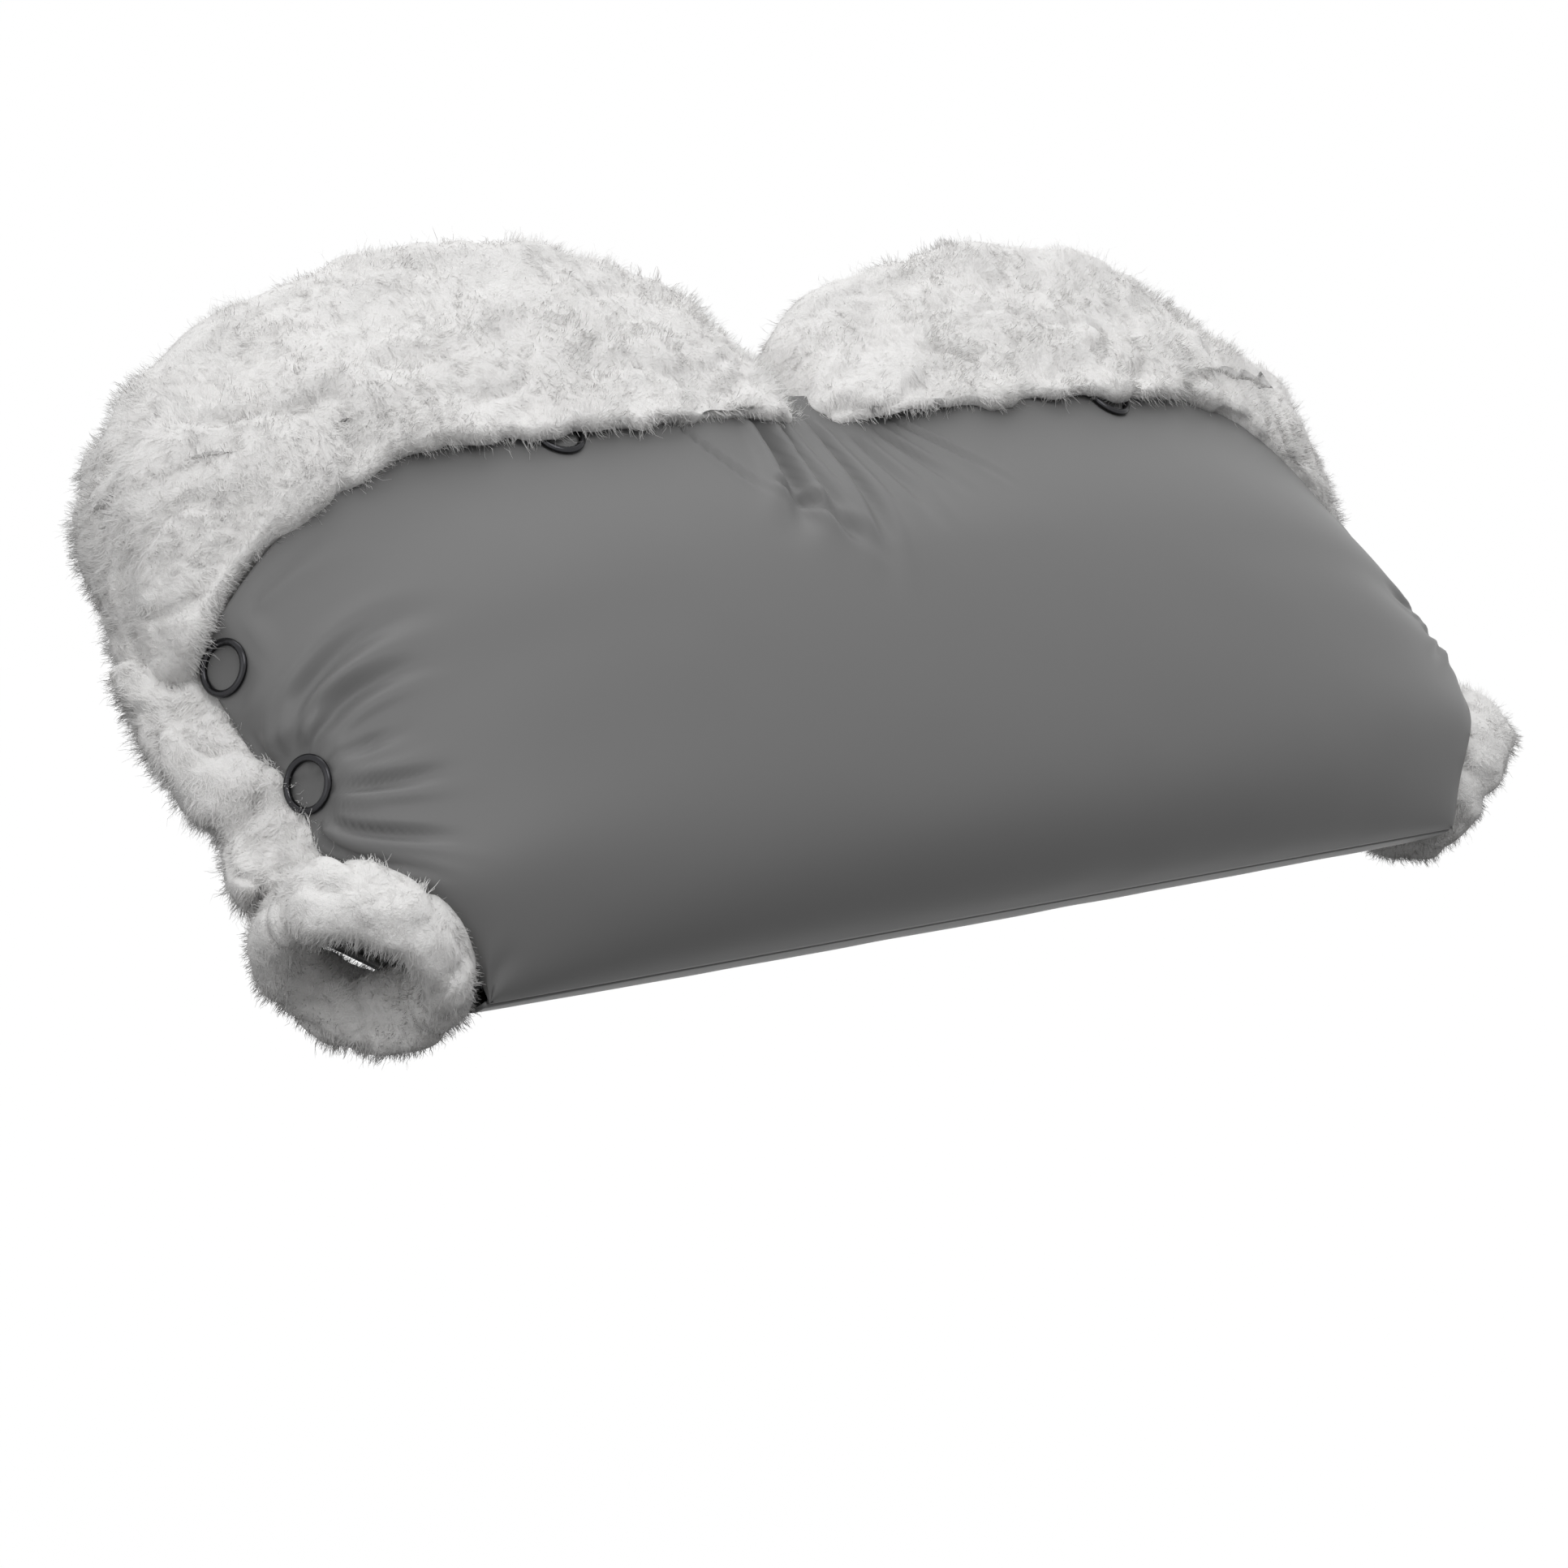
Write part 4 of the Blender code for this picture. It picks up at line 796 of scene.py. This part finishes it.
def makeCuff(name, side, seed, along):
    # sections in a plane square to the rim: up the outer wall, over a round crest, down inside,
    # under the foot and down the shell's face behind the lip
    angle = evenAngles(cuff["ringSteps"])
    x, depth = openingLoop(angle, muff["hemRise"])
    outX, outD = loopOutwards(x, depth)
    height = cuffHeight(angle, side)
    base = muff["hemRise"] + 1.0 * mm
    front = frontness(angle)
    dropped = smoothStep((muff["hemRise"] - topHem(x) - cuff["dropFrom"]) / cuff["dropOver"])
    rim = np.stack([x, depth, 0.0 * x], axis=-1)
    scallop = cuff["scallop"] * valueNoise(rim, cuff["scallopSize"], seed + 80)
    lip = cuff["rearLip"] + (cuff["lip"] * (1.0 - 0.85 * dropped) + scallop - cuff["rearLip"]) * front
    foot, gap = footOffset(angle), hemGap(angle)
    wallHeight = height - cuff["crestStart"]
    wall = cuff["wallSteps"]
    rows = []
    for k in range(wall):
        t = k / (wall - 1.0)
        full = cuff["outside"] + (foot - cuff["outside"]) * (1.0 - smoothStep((t - 0.25) / 0.6))
        full = full - cuff["taper"] * t * t
        rounding = np.clip(t * (wallHeight + lip) / cuff["foot"], 0.0, 1.0)
        rounding = 0.3 + 0.7 * np.sqrt(1.0 - (1.0 - rounding) ** 2)
        rounding = rounding + (1.0 - rounding) * dropped
        rows.append((gap + (full - gap) * rounding, base - lip + (wallHeight + lip) * t, t))
    crest = wall // 2
    outerTop, innerTop = rows[-1][0], -(1.9 * mm + cuff["inside"])
    for k in range(1, crest):
        turn = np.pi * k / crest
        offset = (outerTop + innerTop) / 2.0 + (outerTop - innerTop) / 2.0 * np.cos(turn)
        rows.append((offset, base + wallHeight + cuff["crestHeight"] * np.sin(turn), 1.0))
    inner = wall * 3 // 4
    for k in range(inner):
        t = 1.0 - k / (inner - 1.0)
        rows.append((innerTop + 0.0 * angle, base + wallHeight * t, t))
    for t in (0.3, 0.6, 1.0):
        rows.append((innerTop + (gap - innerTop) * t, base + 0.0 * angle, 0.0))
    for t in (0.35, 0.7, 0.95):
        rows.append((gap, base - np.maximum(lip - 1.0 * mm, 0.0) * t, 0.0))
    # near the middle both cuffs lean to the front hem and a little to the left
    reach = np.sign(np.cos(angle)) * np.abs(np.cos(angle)) ** (2.0 / opening["roundness"])
    inwards = smoothStep((-reach - 0.5) / 0.45) * smoothStep((np.sin(angle) + 0.5) / 0.7)
    innerAcross = cuff["innerAcross"]["left" if side < 0.0 else "right"]
    rings = []
    for offset, rise, t in rows:
        rowX, rowDepth = openingLoop(angle, np.minimum(rise, muff["hemRise"]))
        leanBack = -cuff["leanBack"] * front * t ** 1.6 * (height / cuff["front"])
        ringX = rowX + outX * offset + side * innerAcross * inwards
        ringDepth = rowDepth + outD * offset + leanBack + cuff["innerForward"] * inwards
        rings.append(np.stack([ringX, rise, ringDepth], axis=-1))
    points = place(np.stack(rings, axis=1) * np.array([side, 1.0, 1.0]))
    normals = -gridNormals(points, True, True) * side
    level = np.array([row[2] for row in rows])
    shown = np.ones(len(rows))
    shown[-6:] = 0.0
    crease = 1.0 - 0.7 * smoothStep((level - 0.3) / 0.4)
    relief = woolRelief(points, seed, along, crease) * shown
    shape = points + normals * relief[..., None]
    item = tubeObject(name, shape, wool, flip=side < 0.0)
    quads = gridQuads(shape.shape[0], shape.shape[1], 0, True, True)
    column, ring = quads[:, 0] % shape.shape[1], quads[:, 0] // shape.shape[1]
    atFront = (np.sin(angle) > -0.15)[ring]
    outer = column < wall + crest // 2
    parts = {"Front": quads[outer & atFront], "Rear": quads[outer & ~atFront],
             "Inside": quads[~outer & (column < wall + crest + inner - 4)]}
    return item, shape, -gridNormals(shape, True, True) * side, parts


for sideName, side in (("left", -1.0), ("right", 1.0)):
    body = sideName + "_cuff"
    seed = cuff["seed"][sideName]
    item, shape, normals, parts = makeCuff(sideName + "CuffWool", side, seed, cuff["along"][sideName])
    seat(item, body, [sideName + "_cuff_wool", sideName + "_cuff_skin"])
    for label, density in (("Front", 1.0), ("Rear", 0.55), ("Inside", 0.35)):
        furry = fibresOn(sideName + "CuffFibres" + label, shape, normals, parts[label], seed + 7, density)
        seat(furry, body)
print("cuffs made")


# linings

lining = {
    "start": 6.0 * mm, "end": 13.0 * mm, "sideInset": 0.118, "topShare": 0.86,
    "reliefShare": 0.7, "fibreDensity": 0.08, "columns": 160, "rows": 60,
}
for half, name, body, seed in ((frontHalf, "front", "front_panel", 300),
                               (rearHalf, "rear", "rear_half", 330)):
    inset = lining["sideInset"] / 2.0
    across, _ = columnsOf(half, np.linspace(inset, 1.0 - inset, lining["columns"]))
    at = np.linspace(0.0, float(rowAt(half, lining["topShare"])), lining["rows"])
    grid = across[None, :], at[:, None]
    outside = place(panelOffset(half, *grid, lining["start"]))
    inside = place(panelOffset(half, *grid, lining["end"]))
    inwards = -gridNormals(inside) * half["way"]
    row, column = np.arange(lining["rows"]), np.arange(lining["columns"])
    edge = np.minimum(np.minimum(row, row[::-1])[:, None], np.minimum(column, column[::-1])[None, :])
    calm = smoothStep(edge / 4.0)
    inside = inside + inwards * (woolRelief(inside, seed) * lining["reliefShare"] * calm)[..., None]
    item = slabObject(name + "Lining", outside, inside, wool, flip=half["way"] > 0.0)
    seat(item, body, [name + "_lining"])
    quads = gridQuads(*inside.shape[:2])
    furry = fibresOn(name + "LiningFibres", inside, inwards, quads, seed + 7, lining["fibreDensity"])
    seat(furry, body)
print("linings made")


# walls inside the hems

band = {"height": 18 * mm, "thickness": 1.6 * mm, "steps": 260}
wallSpan = {
    "from": 0.410, "to": 1.03, "frontInset": 7.3 * mm, "rearInset": 1.9 * mm,
    "rows": 26, "columns": [0.0, 0.0415],
}
for sideName, side in (("left", -1.0), ("right", 1.0)):
    angle = evenAngles(band["steps"])
    rims = []
    for rise in (muff["hemRise"] - band["height"], muff["hemRise"] - 0.5 * band["height"], muff["hemRise"]):
        x, depth = openingLoop(angle, rise)
        outX, outD = loopOutwards(x, depth)
        rims.append((x, depth, outX, outD, rise))
    sections = []
    for offset, order in ((0.0, (0, 1, 2)), (-band["thickness"], (2, 1, 0))):
        for k in order:
            x, depth, outX, outD, rise = rims[k]
            wallX, wallDepth = side * (x + outX * offset), depth + outD * offset
            sections.append(np.stack([wallX, rise + 0.0 * x, wallDepth], axis=-1))
    points = place(np.stack(sections, axis=1))
    item = tubeObject(sideName + "OpeningBand", points, felt, flip=side < 0.0)
    seat(item, "rear_half", [sideName + "_opening_band"])

    # side wall: two lines under the front hem, then two under the rear hem
    shares = np.linspace(wallSpan["from"], wallSpan["to"], wallSpan["rows"])
    low = np.minimum(shares, 1.0)
    outer, inner = [], []
    for half, inset, order in ((frontHalf, wallSpan["frontInset"], -1), (rearHalf, wallSpan["rearInset"], 1)):
        columns, _ = columnsOf(half, wallSpan["columns"])
        for column in columns[::order]:
            for lines, extra in ((outer, 0.0), (inner, band["thickness"])):
                line = panelOffset(half, np.full(len(shares), column), rowAt(half, low), inset + extra)
                lines.append(pastHem(line, line, shares))
    mirror = np.array([side, 1.0, 1.0])
    outer, inner = np.stack(outer, axis=1) * mirror, np.stack(inner, axis=1) * mirror
    item = slabObject(sideName + "SideWall", place(outer), place(inner), felt, flip=side < 0.0)
    seat(item, "rear_half", [sideName + "_side_wall"])
print("inner walls made")


# wool at the sides, the corners and the lower exits

sideRoll = {
    "stand": 22 * mm, "edge": 3.2 * mm, "overFront": 5.0 * mm, "overRear": 4.0 * mm, "overWidth": 0.14,
    "hemInset": 1.2 * mm, "fromWall": 0.5 * mm, "from": 0.31, "to": 1.03, "lowFade": 0.10,
    "cornerFrom": 0.66, "cornerFade": 0.14, "rows": 96, "columns": 38,
}
corner = {
    "reach": 0.49 * np.pi, "fade": 0.05 * np.pi, "overhang": 4.0 * mm, "scallop": 1.2 * mm,
    "swell": 3.0 * mm, "foot": 5.0 * mm, "endReach": 9.0 * mm, "endWidth": 0.14 * np.pi,
    "columns": 130, "rows": 46,
}
armCuff = {
    "ring": 24.3 * mm, "halfThickness": 9.3 * mm, "halfLength": 14.0 * mm, "x": 247.4 * mm, "rise": -64 * mm,
    "depth": -25 * mm, "tilt": radians(42.0), "towardsShell": 7.0 * mm, "reliefShare": 0.8,
    "splitGap": 0.3 * mm, "steps": 74, "sides": 44,
}
for sideName, side, seed in (("left", -1.0, 400), ("right", 1.0, 500)):
    mirror = np.array([side, 1.0, 1.0])

    # roll between the front and the rear side hem
    shares = np.linspace(sideRoll["from"], sideRoll["to"], sideRoll["rows"])
    low = np.minimum(shares, 1.0)
    lines = {}
    for half, key in ((frontHalf, "front"), (rearHalf, "rear")):
        hem = panelSurface(half, np.zeros(len(low)), rowAt(half, low))
        wall = panelOffset(half, np.zeros(len(low)), rowAt(half, low), wallSpan[key + "Inset"])
        lines[key] = pastHem(hem, hem, shares)
        lines[key + "Wall"] = pastHem(wall, hem, shares)
    across = np.linspace(0.0, 1.0, sideRoll["columns"])
    startDepth = lines["front"][:, 2] - sideRoll["hemInset"]
    endDepth = lines["rear"][:, 2] + sideRoll["hemInset"]
    depth = startDepth[:, None] + (endDepth - startDepth)[:, None] * across
    wallLine = lines["rearWall"] - lines["frontWall"]
    span = (depth - lines["frontWall"][:, 2:3]) / wallLine[:, 2:3]
    wallX = lines["frontWall"][:, :1] + wallLine[:, :1] * span
    rise = lines["front"][:, 1:2] + (lines["rear"][:, 1:2] - lines["front"][:, 1:2]) * across
    crown = np.sin(np.pi * across) ** 0.55
    lowEnd = smoothStep((shares - sideRoll["from"]) / sideRoll["lowFade"])[:, None]
    stand = sideRoll["edge"] + (sideRoll["stand"] - sideRoll["edge"]) * crown * (0.35 + 0.65 * lowEnd)
    belowCorner = 1.0 - smoothStep((shares - sideRoll["cornerFrom"]) / sideRoll["cornerFade"])[:, None]
    overFront = np.exp(-(across / sideRoll["overWidth"]) ** 2) * sideRoll["overFront"] * belowCorner * lowEnd
    overRear = np.exp(-((1.0 - across) / sideRoll["overWidth"]) ** 2) * sideRoll["overRear"] * lowEnd
    baseX = wallX + sideRoll["fromWall"]
    base = place(np.stack([baseX, rise, depth], axis=-1) * mirror)
    crest = place(np.stack([baseX + stand, rise, depth + overFront - overRear], axis=-1) * mirror)
    outwards = gridNormals(crest) * side * -1.0
    calm = np.minimum(crown * 1.5, 1.0)
    crest = crest + outwards * (woolRelief(crest, seed) * calm)[..., None]
    item = slabObject(sideName + "SideWool", crest, base, wool, flip=side < 0.0)
    seat(item, "rear_half", [sideName + "_side_wool"])
    quads = gridQuads(*crest.shape[:2])
    seat(fibresOn(sideName + "SideFibres", crest, outwards, quads, seed + 7), "rear_half")

    # wool that fills the corner between the dropped hems and the cuff, and hangs over the hems
    angle = np.linspace(-corner["reach"], corner["reach"], corner["columns"])
    x, depth = openingLoop(angle, muff["hemRise"])
    dx, dd = np.gradient(x), np.gradient(depth)
    size = np.hypot(dx, dd)
    outX, outD = dd / size, -dx / size
    fade = smoothStep((corner["reach"] - np.abs(angle)) / corner["fade"])
    rim = np.stack([x, depth, 0.0 * x], axis=-1)
    scallop = corner["scallop"] * valueNoise(rim, cuff["scallopSize"], seed + 81)
    overhang = (corner["overhang"] + scallop) * (1.0 - 0.55 * np.cos(angle) ** 2) * fade
    overhang = overhang + corner["endReach"] * np.exp(-(angle / corner["endWidth"]) ** 2)
    bottom = topHem(x) - overhang
    level = np.linspace(0.0, 1.0, corner["rows"])[:, None]
    rise = bottom + (muff["hemRise"] + 0.6 * mm - bottom) * level
    rowX, rowDepth = openingLoop(angle[None, :] + 0.0 * rise, rise)
    gap = hemGap(angle)
    inner = 0.4 * mm + (gap - 0.4 * mm) * smoothStep((topHem(x) + 1.6 * mm - rise) / (1.2 * mm))
    rounding = np.clip((rise - bottom) / corner["foot"], 0.0, 1.0)
    rounding = 0.3 + 0.7 * np.sqrt(1.0 - (1.0 - rounding) ** 2)
    swell = corner["swell"] * np.sin(np.pi * level) * np.cos(angle) ** 2
    outer = gap + (footOffset(angle) + swell - gap) * rounding
    outer = np.maximum(inner + 1.0 * mm, 1.5 * mm + (outer - 1.5 * mm) * fade)
    grids = [place(np.stack([(rowX + outX * out) * side, rise, rowDepth + outD * out], axis=-1))
             for out in (outer, inner)]
    outwards = gridNormals(grids[0]) * side
    relief = woolRelief(grids[0], cuff["seed"][sideName], cuff["along"][sideName])
    far = grids[0] + outwards * (relief * fade)[..., None]
    item = slabObject(sideName + "CornerWool", far, grids[1], wool, flip=side > 0.0)
    seat(item, "rear_half", [sideName + "_corner_wool"])
    quads = gridQuads(*far.shape[:2])
    seat(fibresOn(sideName + "CornerFibres", far, outwards, quads, seed + 37), "rear_half")

    # wool ring round the lower exit, split between front and rear
    for label, way, body in (("Front", 1.0, "front_panel"), ("Rear", -1.0, "rear_half")):
        start = armCuff["splitGap"] / armCuff["ring"]
        swing = np.linspace(start, np.pi - start, armCuff["steps"]) - np.pi / 2.0
        end = np.minimum(np.arange(armCuff["steps"]), np.arange(armCuff["steps"])[::-1])
        endRound = np.sqrt(np.clip(1.0 - (1.0 - np.clip((end + 0.5) / 6.0, 0.0, 1.0)) ** 2, 0.0, 1.0))
        endRound = endRound[:, None]
        fullness = 0.85 + 0.15 * endRound
        turns = np.linspace(0.0, 2.0 * np.pi, armCuff["sides"], endpoint=False)[None, :]
        swing = swing[:, None]
        reach = armCuff["ring"] + armCuff["halfThickness"] * fullness * np.cos(turns)
        lift = armCuff["halfLength"] * fullness * np.sin(turns) + armCuff["towardsShell"]
        outwards = reach * np.sin(swing)
        ringDepth = armCuff["depth"] + way * reach * np.cos(swing)
        ringX = armCuff["x"] + outwards * np.cos(armCuff["tilt"]) - lift * np.sin(armCuff["tilt"])
        ringRise = armCuff["rise"] + outwards * np.sin(armCuff["tilt"]) + lift * np.cos(armCuff["tilt"])
        rings = place(np.stack([ringX * side, ringRise, ringDepth], axis=-1))
        centers = rings.mean(axis=1, keepdims=True)
        outFrom = rings - centers
        outFrom /= np.linalg.norm(outFrom, axis=-1, keepdims=True)
        relief = woolRelief(rings, seed + 60) * armCuff["reliefShare"] * endRound
        rings = rings + outFrom * relief[..., None]
        item = rollObject(sideName + "ArmCuff" + label, rings, wool, flip=way * side > 0.0)
        seat(item, body, [sideName + "_arm_cuff_" + label.lower()])
        quads = gridQuads(rings.shape[0], rings.shape[1], 0, False, True)
        name = sideName + "ArmCuffFibres" + label
        seat(fibresOn(name, rings, outFrom, quads, seed + 67, 1.0, 0.8), body)
print("side wool made")


# centre tab and press studs

# the tab comes up behind the front hem, turns over towards the rear and ends at the rear panel
tab = {
    "halfWidth": 8.8 * mm, "stud": 11.2 * mm, "above": 8 * mm, "below": 8.5 * mm, "thickness": 1.6 * mm,
    "frontInset": 5.3 * mm, "rearInset": 2.3 * mm, "turn": 3.0 * mm,
}
studRise = muff["hemRise"] - tab["stud"]
upperRows = rowAt(frontHalf, np.array([0.86, 1.0]))
line = panelOffset(frontHalf, np.array([0.5, 0.5]), upperRows, tab["frontInset"])
slope = (line[1, 2] - line[0, 2]) / (line[1, 1] - line[0, 1])
high, low = studRise + tab["above"], studRise - tab["below"]
highFace = line[0, 2] + slope * (high - line[0, 1])
lowFace = line[0, 2] + slope * (low - line[0, 1])
rearFace = float(depthAt(rearHalf, np.array(0.0), studRise)) + tab["rearInset"]
turn = tab["turn"]
face = np.array([
    (low, lowFace), ((low + high) / 2, (lowFace + highFace) / 2), (high - turn, highFace - slope * turn),
    (high - 0.3 * turn, highFace - 0.3 * turn), (high, highFace - turn),
    (high, (highFace + rearFace) / 2), (high, rearFace),
])
throughCloth = np.array([(0, 1), (0, 1), (0, 1), (1, 1), (1, 1), (1, 0), (1, 0)])
widths = np.linspace(-tab["halfWidth"], tab["halfWidth"], 7)
sides = []
for edge in (face, face - tab["thickness"] * throughCloth):
    sides.append(place(np.array([[(x, rise, depth) for x in widths] for rise, depth in edge])))
centerTab = slabObject("centerTab", *sides, felt)
seat(centerTab, "rear_half", ["center_tab"])

# profiles of the stud's parts: radius and height over its lowest face, in millimetres
studParts = {
    "ring_cap": [(6.7, 0.0), (8.6, 0.0), (8.85, 0.35), (8.85, 0.9), (8.5, 1.45), (7.9, 1.75), (7.4, 1.75),
                 (6.95, 1.45), (6.6, 0.9), (6.6, 0.3)],
    "socket": [(2.6, 2.1), (6.6, 2.1), (7.0, 1.8), (7.0, 0.2), (6.8, 0.0), (5.9, 0.0), (5.8, 0.2), (5.8, 1.3),
               (5.6, 1.4), (2.6, 1.4)],
    "stud": [(1.1, 0.0), (6.0, 0.0), (6.2, 0.2), (6.2, 0.5), (6.0, 0.7), (2.3, 0.7), (2.2, 0.9), (2.2, 1.4),
             (2.0, 1.6), (1.1, 1.6)],
    "back_ring": [(2.0, 0.0), (4.8, 0.0), (5.0, 0.2), (5.0, 0.6), (4.8, 0.8), (2.0, 0.8)],
}
studSides = 72
for nodeName, node in frame["nodes"].items():
    kind = next((k for k in studParts if nodeName.endswith("_" + k)), None)
    if kind is None:
        continue
    middle, axis = studFrame(node)
    first = np.cross(axis, (0.0, 0.0, 1.0))
    first /= np.linalg.norm(first)
    second = np.cross(axis, first)
    turns = np.linspace(0.0, 2.0 * np.pi, studSides, endpoint=False)
    ways = np.cos(turns)[:, None] * first + np.sin(turns)[:, None] * second
    profile = np.array(studParts[kind]) * mm
    rings = middle + ways[:, None] * profile[None, :, :1] + axis * profile[None, :, 1:]
    words = nodeName.split("_")
    item = tubeObject(words[0] + "".join(word.capitalize() for word in words[1:]), rings, blackNickel,
                      flip=kind != "socket")
    seat(item, node["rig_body"], [nodeName])
print("studs made")


# camera and light

scene = bpy.context.scene
camera = bpy.data.objects.new("camera", bpy.data.cameras.new("camera"))
scene.collection.objects.link(camera)
scene.camera = camera
camera.data.sensor_width = 36.0
camera.data.lens = 96.149
camera.data.clip_end = 20.0
azimuth, elevation = radians(-43.0), radians(9.0)
backward = Vector((np.sin(azimuth) * np.cos(elevation), -np.cos(azimuth) * np.cos(elevation),
                   np.sin(elevation)))
camera.location = (-0.9572164, -0.9687091, 0.1836232)
camera.rotation_euler = backward.to_track_quat("Z", "Y").to_euler()

lights = {
    "keyLight": {"at": (-0.4, -1.5, 1.62), "size": 1.2, "power": 13.0},
    "fillLight": {"at": (-1.8, -0.4, 0.5), "size": 1.2, "power": 3.4},
    "topLight": {"at": (0.3, 0.5, 1.8), "size": 1.4, "power": 7.5},
}
for name, light in lights.items():
    # a square lamp that faces the muff
    lamp = bpy.data.objects.new(name, bpy.data.lights.new(name, "AREA"))
    lamp.data.size = light["size"]
    lamp.data.energy = light["power"]
    lamp.location = light["at"]
    lamp.rotation_euler = Vector(light["at"]).to_track_quat("Z", "Y").to_euler()
    scene.collection.objects.link(lamp)


def seenDirectly(owner):
    # 1 for a ray from the camera, a reflection or a ray through glass
    path = addNode(owner, "ShaderNodeLightPath")
    both = addNode(owner, "ShaderNodeMath", {"operation": "MAXIMUM"},
                   [(0, path, "Is Camera Ray"), (1, path, "Is Glossy Ray")])
    return addNode(owner, "ShaderNodeMath", {"operation": "MAXIMUM"},
                   [(0, both, "Value"), (1, path, "Is Transmission Ray")])


# the world lights softly, less from below, and looks white itself
worldLight = {"strength": 0.66, "fromBelow": 0.05}
world = bpy.data.worlds.new("studio")
scene.world = world
world.use_nodes = True
world.node_tree.nodes.clear()
way = addNode(world, "ShaderNodeTexCoord")
parts = addNode(world, "ShaderNodeSeparateXYZ", (), [("Vector", way, "Generated")])
strength = addNode(world, "ShaderNodeMapRange",
                   {"From Min": -0.5, "From Max": 0.5, "To Max": worldLight["strength"],
                    "To Min": worldLight["strength"] * worldLight["fromBelow"]},
                   [("Value", parts, "Z")])
soft = addNode(world, "ShaderNodeBackground", {"Color": (1.0, 1.0, 1.0, 1.0)},
               [("Strength", strength, "Result")])
white = addNode(world, "ShaderNodeBackground", {"Color": (1.0, 1.0, 1.0, 1.0), "Strength": 1.0})
mix = addNode(world, "ShaderNodeMixShader", (),
              [("Fac", seenDirectly(world), "Value"), (1, soft, "Background"), (2, white, "Background")])
addNode(world, "ShaderNodeOutputWorld", (), [("Surface", mix, "Shader")])

# pale floor well below the muff, nearly white to the camera
floor = {"size": 3.0, "height": -0.42, "color": "#4c4c4c", "white": 0.85, "glow": 1.16}
floorPaint, shader = newMaterial("matt studio floor", floor["color"], 0.9)
glow = addNode(floorPaint, "ShaderNodeEmission", {"Color": (1.0, 1.0, 1.0, 1.0), "Strength": floor["glow"]})
amount = addNode(floorPaint, "ShaderNodeMath", {"operation": "MULTIPLY", 1: floor["white"]},
                 [(0, seenDirectly(floorPaint), "Value")])
mix = addNode(floorPaint, "ShaderNodeMixShader", (),
              [("Fac", amount, "Value"), (1, shader, "BSDF"), (2, glow, "Emission")])
addNode(floorPaint, "ShaderNodeOutputMaterial", {"is_active_output": True}, [("Surface", mix, "Shader")])
corners = np.array([(-1, -1), (1, -1), (1, 1), (-1, 1)]) * floor["size"]
floorPlane = facesToMesh("floor", np.column_stack([corners, np.full(4, floor["height"])]),
                         np.array([[0, 1, 2, 3]]), floorPaint)
scene.view_settings.view_transform = "Standard"
print("camera and light set")

for item, grid, body, nodes in ((frontShell, frontOut, "front_panel", ("front_shell", "front_wadding")),
                                (rearShell, rearOut, "rear_half", ("rear_shell", "rear_wadding"))):
    seat(item, body, nodes)
